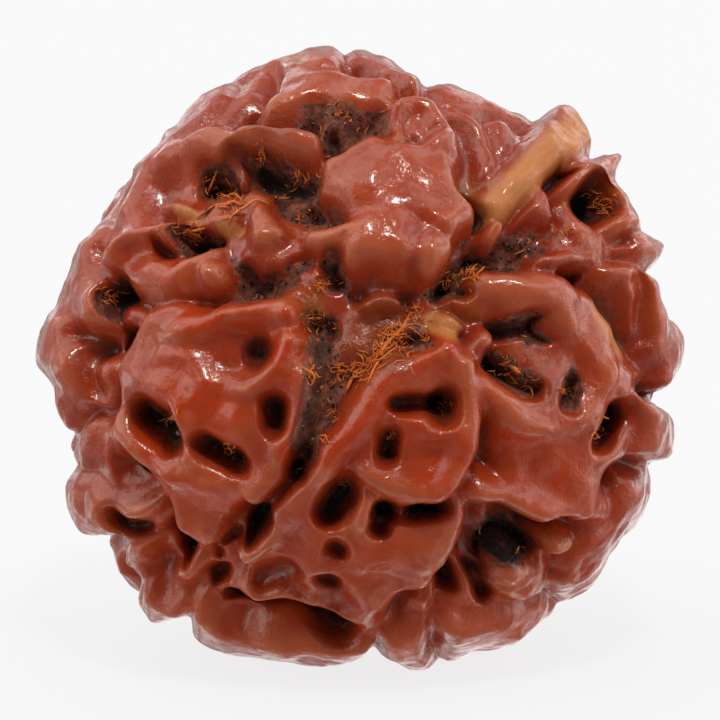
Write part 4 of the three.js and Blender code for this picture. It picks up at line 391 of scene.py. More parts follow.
# Ridges: half width, and the crest line as x, y and radius
RIDGES = [
    ("speckled ridge", 0.8, [
     (-8.4, 8, 12.3), (-7.5, 8.5, 12.55), (-6.5, 8.85, 12.6), (-5.5, 8.85, 12.5), (-4.7, 8.7, 12.5)]),
    ("left rim fold", 0.55, [
     (-8.6, -0.9, 12.4), (-7.8, -1.1, 12.6), (-7.2, -2, 12.65), (-6.8, -3, 12.6), (-6.5, -4.2, 12.5)]),
    ("left lower rim", 0.55, [
     (-9.5, -2.8, 12.5), (-8.6, -3.7, 12.6), (-7.4, -4.5, 12.6), (-6.2, -4.9, 12.5)]),
    ("bowl rim", 0.45, [
     (-7.9, 0.2, 12.45), (-6.6, 0, 12.6), (-5.9, -0.7, 12.65), (-4.9, -1.1, 12.65), (-3.9, -0.9, 12.6),
     (-3.2, -0.2, 12.6), (-2.9, 0.7, 12.6)]),
    ("bowl brow", 0.5, [
     (-7.6, 0.9, 12.45), (-6.4, 1.2, 12.6), (-5.5, 1.75, 12.6), (-4.2, 1.8, 12.55), (-3.1, 1.9, 12.5)]),
    ("groove bank left", 0.6, [
     (-2.4, -0.6, 12.4), (-2.5, -2, 12.5), (-2.9, -3.2, 12.5), (-3.3, -4.4, 12.45), (-4.3, -5.2, 12.4)]),
    ("groove bank right", 0.65, [
     (3.4, 0.4, 12.5), (1.9, -0.6, 12.6), (0.6, -1.8, 12.6), (-0.5, -3.1, 12.55), (-1.7, -4.3, 12.5),
     (-2.6, -5.4, 12.4), (-3.3, -6.6, 12.3), (-4.4, -7.8, 12.2)]),
    ("left arm", 0.35, [(-1.9, 4.85, 12), (-1.3, 4.9, 12.4), (-0.6, 5.2, 12.6), (0.2, 5.5, 12.7)]),
    ("cup ring", 0.42, [
     (1.6, 9, 12.3), (1.5, 9.8, 12.5), (1.8, 10.3, 12.5), (2.3, 10.45, 12.5), (2.9, 10.2, 12.45),
     (3.15, 9.7, 12.4)]),
    ("upper ledge", 0.4, [(-10.1, 4.2, 12.5), (-9.3, 4.8, 12.6), (-8.3, 5.1, 12.6), (-7.6, 5.3, 12.5)]),
    ("right brow", 0.7, [
     (5.2, 2.9, 12.3), (6.2, 2.9, 12.6), (7.3, 2.9, 12.7), (8.2, 2.5, 12.75), (8.6, 1.8, 12.6)]),
    ("basin rim", 0.55, [
     (4.9, -1, 12.4), (5.7, -1.7, 12.6), (6.5, -2.5, 12.7), (7.6, -2.75, 12.75), (8.6, -2.4, 12.75),
     (9.5, -1.5, 12.7), (10, -0.5, 12.65)]),
    ("right hem", 0.5, [
     (4.9, -5.4, 12.4), (6.2, -5.6, 12.5), (7.4, -6.1, 12.55), (8.6, -6, 12.5), (9.7, -5.9, 12.5)]),
    ("heart rim", 0.5, [
     (4.2, -0.3, 12.55), (4.3, -1.6, 12.65), (4.3, -3, 12.7), (3.8, -4.4, 12.7), (2.7, -5.3, 12.65),
     (1.4, -5.1, 12.6), (0.3, -4.5, 12.55)]),
    ("heart shelf", 0.5, [(1.7, -2.5, 12.3), (2.7, -2.8, 12.6), (3.7, -2.6, 12.6)]),
    ("pit divider", 0.4, [(0, -5.4, 12.2), (0.1, -6.2, 12.35), (0.2, -7, 12.35)]),
    ("scoop edge", 0.35, [
     (10, 3.4, 12.6), (10.8, 3.4, 12.7), (11.3, 2.7, 12.75), (11.6, 1.4, 12.75), (12, 0.2, 12.7)]),
    ("limb seam", 0.3, [(-8.45, -6.6, 12.4), (-8.9, -7.3, 12.5), (-9.2, -8.1, 12.5)]),
    ("smooth band", 0.85, [
     (5.4, 6.2, 11.9), (6.2, 7.1, 12.3), (7.2, 8.1, 12.7), (8, 8.9, 13.1), (8.4, 9.3, 13.3)]),
    ("crown ledge", 0.35, [
     (-4.5, 8.9, 12.5), (-3.6, 9.15, 12.65), (-2.6, 9.2, 12.65), (-1.8, 8.9, 12.5)]),
]

# Bowls, pits and creases: half width, depth and the line that they follow
PITS = [
    ("bowl", 1.7, 0.75, [(-5.2, 0.4), (-4.3, 0.3)]),
    ("bowl eye", 0.8, 1.3, [(-3.95, 0.25), (-3.9, 0.15)]),
    ("left pit", 0.95, 2.3, [(-8.3, -2.1), (-7.3, -2.9)]),
    ("middle pit", 0.8, 2, [(-5.9, -3.4), (-4.9, -3.8)]),
    ("bank pit", 0.7, 1.8, [(-3.45, -1.9), (-3.35, -2.6)]),
    ("slot upper", 0.55, 1.6, [(-2, -3.6), (-2.5, -4.5)]),
    ("slot crease", 0.3, 1.2, [(-2.4, -4.4), (-3.2, -5.3), (-3.6, -5.8)]),
    ("slot pit", 0.6, 2.2, [(-3.8, -6.1), (-4.5, -7)]),
    ("slot end", 0.3, 1, [(-5, -7.4), (-6.2, -8), (-6.4, -8.8)]),
    ("heel pit", 0.5, 1.6, [(-6.2, -9.5), (-6.5, -9.8)]),
    ("heart slot", 0.5, 1.7, [(1.5, -1.8), (2.9, -1.7)]),
    ("heart slot end", 0.75, 1.6, [(3.2, -1.5), (3.1, -2.1)]),
    ("heart pit", 0.55, 1.6, [(1.15, -3.1), (1.1, -3.7)]),
    ("heart hollow", 1.4, 0.5, [(1.4, -3.4), (2.6, -3.6)]),
    ("bank hollow", 0.85, 2.3, [(-0.75, -5.2), (-1.1, -6.1)]),
    ("brow pit left", 0.65, 1.8, [(1, -6.1), (0.8, -6.5)]),
    ("brow pit right", 0.6, 1.5, [(2.4, -6), (2.9, -6)]),
    ("brow crease", 0.5, 1.2, [(0.8, -5.9), (2, -6.15), (3.4, -5.9)]),
    ("small eye", 0.5, 1.2, [(-1.1, -7.4), (-0.9, -7.5)]),
    ("small eye slope", 0.9, 0.5, [(-1, -7.9), (-0.8, -8.2)]),
    ("lower eye", 0.6, 1.4, [(-1.4, -8.65), (-1.1, -8.7)]),
    ("lower eye slope", 1.1, 0.9, [(-1.1, -9.3), (-1, -9.8)]),
    ("hem hollow", 0.8, 1.1, [(-4, -8.9), (-2.8, -8.4)]),
    ("hem dip", 0.7, 0.8, [(-2.6, -9.2), (-2.5, -9.5)]),
    ("under hem", 0.9, 2.4, [(-5.3, -10.5), (-4.4, -10.6), (-3.2, -10.4), (-2, -10.9), (-0.9, -11.3)]),
    ("flap dimple", 0.5, 0.6, [(1.8, -9.9), (2, -10)]),
    ("big pit", 1.6, 3, [(5.9, -7.4), (6.2, -7.8)]),
    ("big pit flank", 1.3, 1.1, [(4.7, -7.2), (4.9, -8.4)]),
    ("long pit", 0.6, 2, [(3.45, -8.7), (3.7, -9.7)]),
    ("knob slot", 0.36, 1.6, [(4.75, -8.9), (4.95, -9.6), (5.5, -10.3)]),
    ("tongue hollow", 0.5, 1.4, [(7.2, -6.85), (8.4, -6.7)]),
    ("limb crease", 0.5, 0.45, [(8.3, -8.2), (8.3, -9.2)]),
    ("right eye", 0.62, 1.5, [(5.8, 1.3), (6.6, 1.5), (7.4, 1.2)]),
    ("basin", 2.2, 0.8, [(6.6, 0.2), (8, -0.4)]),
    ("basin pit", 0.48, 1.3, [(5.35, 0.2), (5.6, -0.3), (6.2, -0.95), (6.8, -1.1)]),
    ("basin slit", 0.45, 1.2, [(8.15, -0.85), (8.1, -1.75)]),
    ("side pit", 0.85, 2.2, [(9.5, -3.1), (10.1, -2.3)]),
    ("side pit slope", 0.9, 0.8, [(10.2, -2.6), (11, -2.3)]),
    ("smooth wall", 2.2, 0.5, [(6.6, -4.3), (7.3, -4.1)]),
    ("corner hollow", 0.75, 1.3, [(10.4, -4.8), (10.8, -4.9)]),
    ("fin scoop", 1.1, 0.9, [(10.3, 2.3), (10.9, 1.4), (11.4, 0.3)]),
    ("fin back", 0.35, 0.8, [(11.5, 3.4), (11.95, 1.6), (12, 0.8)]),
    ("lip hollow", 0.55, 1.5, [(8.3, 3.4), (8.9, 3.5)]),
    ("plate crust", 0.8, 0.3, [(7.9, 5.6), (8.1, 4.8)]),
    ("plate hollow", 0.9, 2.2, [(9.4, 6.9), (9.6, 6.2)]),
    ("band hollow", 0.45, 1.3, [(8, 7.4), (8.6, 7.9)]),
    ("fork pit", 1, 0.9, [(5.4, 4.2), (6.6, 4.6)]),
    ("fork crease", 0.4, 1.2, [(3.4, 2.8), (4.1, 3.4), (4.9, 4.3)]),
    ("knob dimple", 0.35, 0.6, [(10.9, 4.9), (11, 4.8)]),
    ("red notch", 0.5, 1.6, [(4.35, 6.9), (4.6, 6.2), (4.9, 5.8)]),
    ("nose crease", 0.75, 0.35, [(2.4, 5.2), (3, 4.7)]),
    ("nose underside", 1.3, 0.9, [(0.6, 2.9), (1.6, 2.8)]),
    ("nose cheek", 0.7, 0.5, [(2.1, 4.6), (2.2, 3.6)]),
    ("arm pit", 0.65, 1.2, [(-1.2, 4.1), (-1, 3.5)]),
    ("mouth hole left", 0.45, 1, [(-2.1, 1.8), (-2, 1.5)]),
    ("mouth hole middle", 0.4, 0.9, [(-1.4, 1.7), (-1.3, 1.2)]),
    ("mouth hole right", 0.5, 1.2, [(2, 0.6), (2.6, 0.7)]),
    ("mouth corner", 0.45, 1, [(3.9, 3), (4.3, 2.8)]),
    ("crust pit left", 0.9, 1.1, [(-4.9, 3.6), (-4.2, 2.9)]),
    ("crust hollow", 0.7, 0.6, [(-3.6, 3.4), (-3, 3.3)]),
    ("crust pit right", 0.6, 0.6, [(-2.8, 4), (-2.3, 4.1)]),
    ("central flank", 0.8, 0.8, [(-1.7, 6.2), (-1.3, 5.9)]),
    ("crown pit", 0.9, 2.2, [(-3.7, 7.85), (-2.7, 7.7), (-2.2, 7.5)]),
    ("crown pit low", 1, 1.3, [(-3.2, 7), (-2.4, 6.5)]),
    ("crown crust", 1.4, 1.1, [(-1.5, 9.7), (-0.6, 9.4)]),
    ("crown crust tail", 0.6, 1.4, [(-1.1, 8.9), (-1, 8.5)]),
    ("crown under", 0.9, 0.7, [(0.9, 9.7), (1, 9.3)]),
    ("cup hollow", 0.75, 0.7, [(2.2, 9.7), (2.2, 9.3)]),
    ("shoulder hollow", 0.75, 0.9, [(-4.6, 10.9), (-4.6, 10)]),
    ("shoulder pit", 0.35, 0.9, [(-4.75, 9.6), (-4.7, 9.2)]),
    ("fibre pit upper", 0.95, 2, [(-6.4, 7.6), (-5.6, 7.5)]),
    ("fibre wall", 0.8, 1.6, [(-5.1, 8), (-4.3, 7.9)]),
    ("fibre pit lower", 0.95, 1.9, [(-6.9, 5), (-6.6, 4.9)]),
    ("lobe pit", 0.45, 1.2, [(-8, 4.65), (-7.9, 4.4)]),
    ("lobe scoop", 0.9, 0.5, [(-9.3, 4.2), (-8.6, 4.4)]),
    ("knob face", 0.5, 0.35, [(-6.2, 3.5), (-6.1, 3.4)]),
    ("left limb pit", 1, 2.2, [(-10, 2.8), (-9.8, 2.1)]),
    ("left limb hollow", 0.7, 1.8, [(-10, 0.75), (-9.6, 0.75)]),
    ("left limb slope", 0.8, 0.8, [(-11.5, 0.2), (-11.2, -1.2)]),
    ("fold pit", 0.65, 1.6, [(-9, -4.3), (-8.8, -4.6)]),
    ("fold scoop", 0.9, 0.5, [(-10.3, -4.5), (-9.6, -4)]),
    ("limb pit left", 0.75, 2.1, [(-10, -6.6), (-9.1, -6.8)]),
    ("limb pit right", 0.65, 2.2, [(-8, -7.6), (-7.9, -8.5)]),
    ("outer notch", 0.5, 1, [(11.9, -1.4), (12.8, -1.6)]),
]

# Knobs and lips that stand in the hollows: half width and crest line
KNOBS = [
    ("knob upper", 0.36, [(-6.2, 3.7, 12.75), (-6.15, 3.55, 12.7)]),
    ("finger knob", 0.26, [(5.35, 4.95, 12), (5.6, 5.3, 12.2)]),
    ("thin lip", 0.14, [(7.4, 3.95, 12.2), (8.3, 4, 12.35), (9.25, 3.95, 12.4)]),
    ("brow end", 0.6, [(8.1, 2, 12.7), (8.3, 1.5, 12.5)]),
    ("lower knob", 0.55, [(6.1, -8.7, 12.5), (6.5, -8.8, 12.5)]),
    ("shelf left", 0.3, [(-7.6, 6.1, 11.6), (-7, 6.1, 11.6)]),
    ("shelf right", 0.28, [(-5.8, 5.5, 11.5), (-5.2, 5.5, 11.5)]),
    ("flake", 0.2, [(0.3, 2.1, 11.6), (0.9, 2.3, 11.7), (1.5, 2.2, 11.6)]),
    ("orange wall", 0.26, [(-4.5, 7.5, 10.7), (-4.6, 7, 10.8)]),
    ("cup floor", 0.7, [(2.3, 9.8, 11.9), (2.3, 9.1, 11.9)]),
]

# Outline of the whole seed in the front view
OUTLINE = [
    (12.84, 0.4), (12.65, -0.5), (12.3, -0.9), (11.9, -1.4), (12.3, -2.2), (12.5, -3.2), (12.3, -4),
    (11.5, -4.2), (11.5, -5.2), (11.2, -6.2), (10, -7.5), (9.3, -8.8), (8.1, -9.8), (7.2, -10.4),
    (6.4, -11.2), (5.2, -11.5), (4.4, -11.6), (3.2, -12.1), (2.2, -12.4), (1.6, -12.1), (0.7, -11.3),
    (0, -11.6), (-0.6, -12), (-2, -12.15), (-3.2, -11.9), (-4.8, -11.7), (-6.2, -11.4), (-6.7, -10.6),
    (-6.9, -10.1), (-7.4, -10.3), (-8.2, -10.55), (-8.5, -10.3), (-8.9, -9.5), (-9.6, -8.5), (-10, -7.4),
    (-11.2, -6.9), (-11.5, -6.5), (-11.85, -5.3), (-11.6, -3.6), (-11.4, -2.9), (-11.85, -2), (-12.2, -1),
    (-12.8, -0.2), (-12.83, 0.5), (-12.5, 1.55), (-12, 2.4), (-11.6, 3.3), (-11.45, 3.8), (-11.1, 4.55),
    (-10.6, 4.95), (-10.25, 5.7), (-9.75, 6.5), (-9.3, 7.3), (-8.9, 7.75), (-8.5, 8), (-7.85, 8.6),
    (-7.7, 9), (-7.15, 9.3), (-6.85, 9.85), (-6, 10.65), (-5.05, 11.12), (-4, 11.65), (-3, 12),
    (-2.4, 12.1), (-2, 12.35), (-0.5, 12.42), (0.5, 12.1), (1, 12), (1.6, 11.5), (2.4, 10.85),
    (2.75, 10.7), (3.6, 10.9), (4.6, 10.45), (5.4, 10), (6.5, 9.65), (6.95, 9.35), (7.2, 9.32),
    (7.5, 9.8), (7.9, 10.22), (8.45, 10), (8.8, 9.5), (9.2, 8.95), (9.27, 8.7), (9.05, 8.15), (8.97, 7.8),
    (9.5, 7.95), (10.1, 8.28), (10.45, 8), (10.45, 7.2), (10.8, 6.6), (11.05, 5.6), (11.7, 5.1),
    (12.13, 4.4), (11.75, 4), (11.63, 3.5), (11.75, 2.7), (12.2, 1.9), (12.75, 0.9)
]

# Places on the seed that differ in colour or finish, by kind: half width and line in the front view
PATCHES = {
    "tan": [
        (0.7, [(5.4, 6.1), (6.3, 7.0), (7.4, 8.0), (8.5, 8.8)]),
        (0.55, [(9.3, 1.9), (10.1, 0.6)]),
        (0.26, [(-7.5, 6.15), (-6.9, 6.1)]),
        (0.24, [(-5.8, 5.5), (-5.2, 5.5)]),
        (0.55, [(3.2, 1.6), (3.6, 1.3)]),
    ],
    "amber": [
        (0.6, [(-2.6, 2.5), (-2.0, 2.5)]),
        (0.5, [(3.6, 2.3), (4.4, 2.1)]),
        (0.4, [(-4.4, 7.5), (-4.4, 6.9)]),
        (0.4, [(1.7, 8.6), (2.0, 8.5)]),
        (0.7, [(4.7, 7.2), (5.2, 6.8)]),
        (1.0, [(0.7, 1.5), (-0.2, 0.6), (-0.9, -0.3)]),
    ],
    "rust": [
        (0.6, [(-1.5, -1.6), (-2.2, -2.6), (-2.6, -3.6)]),
        (0.5, [(3.4, 0.5), (1.6, -0.6), (0.2, -2.0), (-1.0, -3.6)]),
        (1.2, [(-6.9, -0.7), (-6.2, -1.5), (-5.6, -2.0)]),
        (0.9, [(-6.2, 1.6), (-5.0, 1.9), (-3.6, 1.6)]),
        (0.8, [(-8.2, -3.2), (-6.8, -4.8), (-5.2, -5.6)]),
        (0.6, [(-3.0, 1.6), (-2.8, 0.4), (-2.9, -0.8)]),
        (1.0, [(2.0, -3.0), (3.4, -3.6), (3.0, -4.6)]),
        (1.3, [(6.0, -3.6), (7.4, -4.6)]),
    ],
    # Maroon patches: painted shade on ledge faces, the walls under them and the lower left limb, and partly
    # the mouth's own warm brown
    "maroon_and_shade": [
        (1.3, [(1.2, 1.6), (0.2, 0.9), (-0.6, 0.0)]),
        (0.5, [(-5.2, 7.9), (-3.6, 8.0), (-2.6, 7.9)]),
        (0.6, [(1.1, 0.0), (1.5, 0.0)]),
        (0.45, [(-3.8, 8.85), (-2.2, 8.85)]),
        (0.8, [(-11.2, -5.6), (-10.8, -6.2)]),
    ],
    "crust": [
        (1.4, [(-1.9, 9.9), (-0.3, 9.5), (-1.0, 8.9)]),
        (1.3, [(-3.4, 7.6), (-2.6, 7.0), (-2.4, 5.9)]),
        (1.3, [(-5.0, 3.5), (-3.6, 3.2), (-2.4, 4.0), (-1.4, 3.2)]),
        (1.2, [(-2.0, 4.9), (-1.8, 5.8)]),
        (1.2, [(5.0, 4.9), (6.0, 4.3), (7.0, 4.6)]),
        (0.45, [(8.0, 5.4), (8.2, 4.8)]),
        (0.8, [(3.4, 3.0), (4.4, 3.6)]),
        (0.8, [(1.9, 1.0), (2.6, 0.6), (3.2, 0.4)]),
        (0.9, [(-2.2, 1.6), (-1.4, 1.2), (-1.6, 0.2)]),
        (0.6, [(6.0, 1.3), (7.2, 1.2)]),
        (0.55, [(5.6, -0.2), (6.4, -1.0)]),
        (0.5, [(8.15, -0.8), (8.15, -1.6)]),
        (0.6, [(-1.2, -0.6), (-1.6, -2.2), (-1.9, -3.4)]),
        (0.8, [(-6.6, 7.5), (-5.6, 7.4)]),
        (0.8, [(-6.9, 5.0), (-6.4, 4.9)]),
        (0.9, [(-6.4, 6.4), (-5.4, 6.6), (-4.4, 6.6)]),
        (0.8, [(9.4, 6.9), (9.6, 6.2)]),
        (0.7, [(-10.0, 2.8), (-9.8, 2.1)]),
    ],
}

# Hollows with painted shade down their far walls too: darkness as a depth, half width and line
PAINTED_SHADE_HOLLOWS = [
    (1.9, 1.15, [(5.4, -6.9), (5.85, -7.3)]),
    (0.75, 0.7, [(4.7, -7.6), (4.95, -8.6)]),
    (1.35, 0.65, [(-1.4, 0.6), (-1.7, -0.8), (-2.0, -2.2), (-2.3, -3.4)]),
]

# Tufts of fibre in the front view: x, y, reach, number of fibres and length
TUFTS = [
    (1.5, 1.1, 0.5, 44, 0.7), (0.8, 0.3, 0.5, 48, 0.7), (0.1, -0.4, 0.5, 44, 0.6),
    (-0.8, -0.5, 0.4, 28, 0.6), (-1.9, -0.5, 0.3, 20, 0.5), (-2.0, 1.7, 0.3, 16, 0.4),
    (-1.4, 1.5, 0.3, 16, 0.5), (1.7, 0.3, 0.4, 20, 0.6), (2.6, 0.8, 0.3, 12, 0.4),
    (-5.1, 6.4, 0.5, 32, 0.6), (-6.6, 5.0, 0.5, 24, 0.7), (-5.9, 6.7, 0.4, 16, 0.6),
    (-3.9, 8.2, 0.4, 16, 0.4), (-2.4, 7.3, 0.4, 16, 0.4), (-10.0, 2.6, 0.5, 24, 0.6),
    (6.0, -0.4, 0.5, 20, 0.5), (6.6, -1.2, 0.3, 12, 0.5), (8.1, -1.2, 0.3, 16, 0.4),
    (9.5, -2.8, 0.4, 18, 0.4), (9.7, 6.2, 0.5, 28, 0.6), (-1.3, -3.2, 0.3, 12, 0.4),
    (-1.0, -2.2, 0.3, 12, 0.4), (4.3, 3.2, 0.4, 24, 0.5), (3.5, 3.2, 0.3, 16, 0.5),
    (-2.3, 5.6, 0.4, 12, 0.4), (8.2, 5.0, 0.4, 12, 0.4), (-0.8, 9.7, 0.5, 16, 0.4),
    (3.3, -1.9, 0.3, 12, 0.4), (1.2, -2.9, 0.25, 10, 0.4), (-5.1, -3.5, 0.3, 12, 0.4),
    (-7.4, -2.2, 0.3, 12, 0.4), (-1.6, 3.0, 0.4, 16, 0.5), (2.2, 1.8, 0.4, 20, 0.5),
]

# Single strands: half width and line in the front view
STRANDS = [
    (0.065, [(-5.2, 5.3), (-5.0, 5.7), (-4.5, 6.05), (-4.1, 6.3), (-3.6, 6.15)]),
    (0.078, [(-6.45, 5.6), (-6.1, 5.85), (-5.75, 6.1)]),
    (0.052, [(-5.65, 7.5), (-5.85, 7.0), (-6.05, 6.55)]),
    (0.065, [(-6.95, 5.15), (-6.55, 5.1), (-6.1, 5.2)]),
    (0.0715, [(-6.95, 5.1), (-6.5, 4.95), (-6.1, 4.7)]),
    (0.052, [(-6.8, 4.95), (-6.45, 4.75), (-6.15, 4.65)]),
    (0.0585, [(-5.35, 6.45), (-4.95, 6.55), (-4.6, 6.25)]),
    (0.0585, [(-5.4, 6.05), (-5.0, 6.25), (-4.75, 6.1)]),
    (0.06, [(-5.3, 7.2), (-5.1, 6.9), (-5.05, 6.6)]),
    (0.07, [(-3.85, 8.4), (-3.8, 8.15), (-3.7, 8.0)]),
    (0.08, [(-2.4, 7.5), (-2.35, 7.2)]),
    (0.1, [(5.6, -0.2), (6.0, -0.3), (6.4, -0.62)]),
    (0.04, [(5.8, -0.5), (6.05, -0.8), (6.25, -1.0)]),
    (0.05, [(6.4, -1.0), (6.7, -1.1), (6.8, -1.4)]),
    (0.07, [(2.0, 1.9), (1.6, 1.2), (0.9, 0.6)]),
    (0.06, [(1.9, 1.4), (1.3, 0.9), (0.6, 0.1), (0.1, -0.5)]),
    (0.06, [(1.4, 0.5), (0.7, -0.1), (0.3, -0.9)]),
    (0.07, [(-0.1, -0.4), (-0.4, -0.9), (-0.6, -1.4)]),
    (0.06, [(-0.8, -0.2), (-0.9, -0.8)]),
    (0.06, [(-1.4, 1.9), (-1.45, 1.4)]),
    (0.07, [(-2.2, -0.3), (-1.8, -0.6), (-1.9, -1.0)]),
]


def spread(n, start):
    """One of a row of evenly spread values from 0 to 1."""
    return (n * GOLDEN_SHARE + start) % 1


def unit(vectors):
    """The same directions as vectors of length one."""
    return vectors / np.linalg.norm(vectors, axis=-1, keepdims=True)


def ramp(value, low, high):
    """Share of the way from low to high that a value has gone, from 0 to 1."""
    return np.clip((value - low) / (high - low), 0, 1)


def smooth_step(value, low, high):
    """That share with a soft start and end."""
    share = ramp(value, low, high)
    return share * share * (3 - 2 * share)


def smooth_max(a, b, blend):
    """Larger of two values, rounded over where they differ by less than blend."""
    share = np.maximum(blend - np.abs(a - b), 0) / blend
    return np.maximum(a, b) + share * share * blend / 4


def polar_direction(polar, around):
    """Direction at an angle from the mouth's axis, and at one round it."""
    flat = np.sin(polar)
    return np.stack([flat * np.cos(around), flat * np.sin(around), np.cos(polar)], -1)


def drawn_direction(x, y, radius):
    """Direction of a point drawn in the front view; past the rim it runs on to the rear."""
    flat = np.hypot(x, y)
    front = np.arcsin(np.clip(flat / radius, 0, 1))
    beyond = np.pi / 2 + (flat - radius) / MAP_RADIUS
    return polar_direction(np.where(flat < radius, front, beyond), np.arctan2(y, x))


def smooth_path(points, closed=False, steps=PATH_STEPS):
    """Points of a smooth curve through the drawn ones."""
    knots = np.array(points, float)
    count = len(knots)
    path = []
    for i in range(count if closed else count - 1):
        if closed:
            a, b, c, d = (knots[(i + j) % count] for j in (-1, 0, 1, 2))
        else:
            b, c = knots[i], knots[i + 1]
            a = knots[i - 1] if i else 2 * b - c
            d = knots[i + 2] if i + 2 < count else 2 * c - b
        for t in np.arange(steps) / steps:
            square = (2 * a - 5 * b + 4 * c - d) * t * t
            cube = (3 * b - a - 3 * c + d) * t ** 3
            path.append((2 * b + (c - a) * t + square + cube) / 2)
    if not closed:
        path.append(knots[-1])
    return np.array(path)


class Patch:
    """Flat map round the middle of a form, true to the distance from that middle."""

    def __init__(self, directions):
        self.middle = unit(directions.sum(0))
        self.side = unit(np.cross(MAP_HINT, self.middle))
        self.up = np.cross(self.middle, self.side)
        self.path = self.flat(directions)
        self.reach = np.hypot(*self.path.T).max()

    def flat(self, directions):
        angle = np.arccos(np.clip(directions @ self.middle, -1, 1))
        points = np.stack([directions @ self.side, directions @ self.up], -1)
        size = np.maximum(np.hypot(*points.T), TINY)
        return points * (MAP_RADIUS * angle / size)[:, None]

    def covered(self, directions, margin):
        """Numbers of the directions that lie within a margin of the form."""
        limit = min((self.reach + margin) / MAP_RADIUS, MAP_LIMIT)
        return np.nonzero(directions @ self.middle > math.cos(limit))[0]


def line_distance(points, path, closed=False):
    """Distance to a path, and how many of its points come before the nearest place."""
    distance = np.full(len(points), np.inf)
    place = np.zeros(len(points))
    for i in range(len(path) if closed else len(path) - 1):
        run = path[(i + 1) % len(path)] - path[i]
        off = points - path[i]
        share = np.clip(off @ run / max(run @ run, TINY_SQUARE), 0, 1)
        here = np.hypot(off[:, 0] - share * run[0], off[:, 1] - share * run[1])
        nearer = here < distance
        distance[nearer] = here[nearer]
        place[nearer] = i + share[nearer]
    return distance, place


def is_inside(points, path):
    """Whether each point lies in a loop, by the sides that a line from it crosses."""
    inside = np.zeros(len(points), bool)
    for a, b in zip(path, np.roll(path, -1, 0)):
        crosses = (a[1] > points[:, 1]) != (b[1] > points[:, 1])
        rise = b[1] - a[1] if b[1] != a[1] else TINY_SQUARE
        inside ^= crosses & (points[:, 0] < a[0] + (points[:, 1] - a[1]) * (b[0] - a[0]) / rise)
    return inside


def soft_distance(points, path):
    """Distance to a loop with no crease midway: each side pulls by the inverse fourth power."""
    pull = np.zeros(len(points))
    for a, b in zip(path, np.roll(path, -1, 0)):
        run = b - a
        length = math.hypot(*run)
        if length < TINY:
            continue
        off = points - a
        start = -off @ run / length
        end = start + length
        height = np.maximum(np.abs(off[:, 0] * run[1] - off[:, 1] * run[0]) / length, LEAST_HEIGHT)
        square = height * height
        pull += (end / (square + end * end) - start / (square + start * start)) / (2 * square)
        pull += (np.arctan(end / height) - np.arctan(start / height)) / (2 * square * height)
    return np.cbrt(np.pi / (2 * pull))


def wall_height(toward):
    """Height of a lobe's wall, which is lower at the seed's side."""
    return SIDE_WALL + (FRONT_WALL - SIDE_WALL) * ramp(abs(toward), *WALL_REACH)


# Each kind of form returns a function that changes the radii, and how far pits sink, in place
def lobe(directions, crest, edge):
    patch = Patch(directions)
    wall = wall_height(patch.middle[2])

    def raise_lobe(around, radii, sunk):
        near = patch.covered(around, LOBE_MARGIN)
        points = patch.flat(around[near])
        outside = -line_distance(points, patch.path, closed=True)[0]
        distance = np.where(is_inside(points, patch.path), soft_distance(points, patch.path), outside)
        swell = 1 - ramp(distance, 0, SWELL_REACH * edge)
        rounded = 1 - np.sqrt(1 - (1 - ramp(distance, 0, edge)) ** 2)
        top = crest - wall * rounded - SWELL * swell ** 2 + LOBE_FOOT * np.minimum(distance, 0)
        radii[near] = smooth_max(radii[near], top, LOBE_BLEND)

    return raise_lobe


def ridge(directions, crests, half):
    patch = Patch(directions)
    blend = min(RIDGE_BLEND, NARROW_BLEND * half)

    def raise_ridge(around, radii, sunk):
        near = patch.covered(around, half * RIDGE_REACH)
        distance, place = line_distance(patch.flat(around[near]), patch.path)
        crest = np.interp(place, np.arange(len(crests)), crests)
        flank = RIDGE_FLANK * np.maximum(distance - RIDGE_FLANK_START * half, 0)
        top = crest - RIDGE_FALL * distance ** 2 / half - flank
        sunk[near] *= 1 - smooth_step(top - radii[near], *RIDGE_FILL)
        radii[near] = smooth_max(radii[near], top, blend)

    return raise_ridge


def pit(directions, half, depth):
    patch = Patch(directions)

    def sink_pit(around, radii, sunk):
        near = patch.covered(around, PIT_WALL[1] * half)
        distance, _ = line_distance(patch.flat(around[near]), patch.path)
        drop = depth * (1 - smooth_step(distance / half, *PIT_WALL))
        radii[near] -= drop
        sunk[near] += drop

    return sink_pit


def blob_directions(polar, around, size, n):
    """Corners of a roundish outline, uneven by its number."""
    least, more = WAIST_SIZES
    middle = polar_direction(polar, around)
    side = unit(np.cross([0.0, 0.0, 1.0], middle))
    up = np.cross(middle, side)
    outline = []
    for k in range(WAIST_CORNERS):
        turn = 2 * math.pi * k / WAIST_CORNERS
        reach = size * (least + more * spread(k + 3 * n, 0.3)) / MAP_RADIUS
        outline.append(middle + reach * (side * math.cos(turn) + up * math.sin(turn)))
    return unit(np.array(outline))


def outline_size(angle):
    """Size of the front outline at any angle round it."""
    points = smooth_path(OUTLINE, closed=True, steps=FINE_STEPS)
    around = np.arctan2(points[:, 1], points[:, 0])
    order = np.argsort(around)
    sizes = np.hypot(*points.T)
    return np.interp(angle, around[order], sizes[order], period=2 * np.pi)


def waist_place(i):
    """Angles round the mouth's axis and away from it at which a waist lobe lies."""
    around = 2 * math.pi * (i + WAIST_SHIFT * spread(i, 0.1)) / WAIST_COUNT
    polar = math.radians(WAIST_POLAR + WAIST_POLAR_SPREAD * (spread(i, 0.7) - 0.5))
    return around, polar


def waist_lobes():
    """Even-sized lobes all round the waist."""
    forms = []
    turns = np.linspace(-WAIST_RISE_REACH, WAIST_RISE_REACH, 5)
    for i in range(WAIST_COUNT):
        around, polar = waist_place(i)
        crest = outline_size(around + turns).max() + WAIST_RISE
        forms.append(lobe(blob_directions(polar, around, WAIST_SIZE, i), crest, WAIST_EDGE))
    return forms


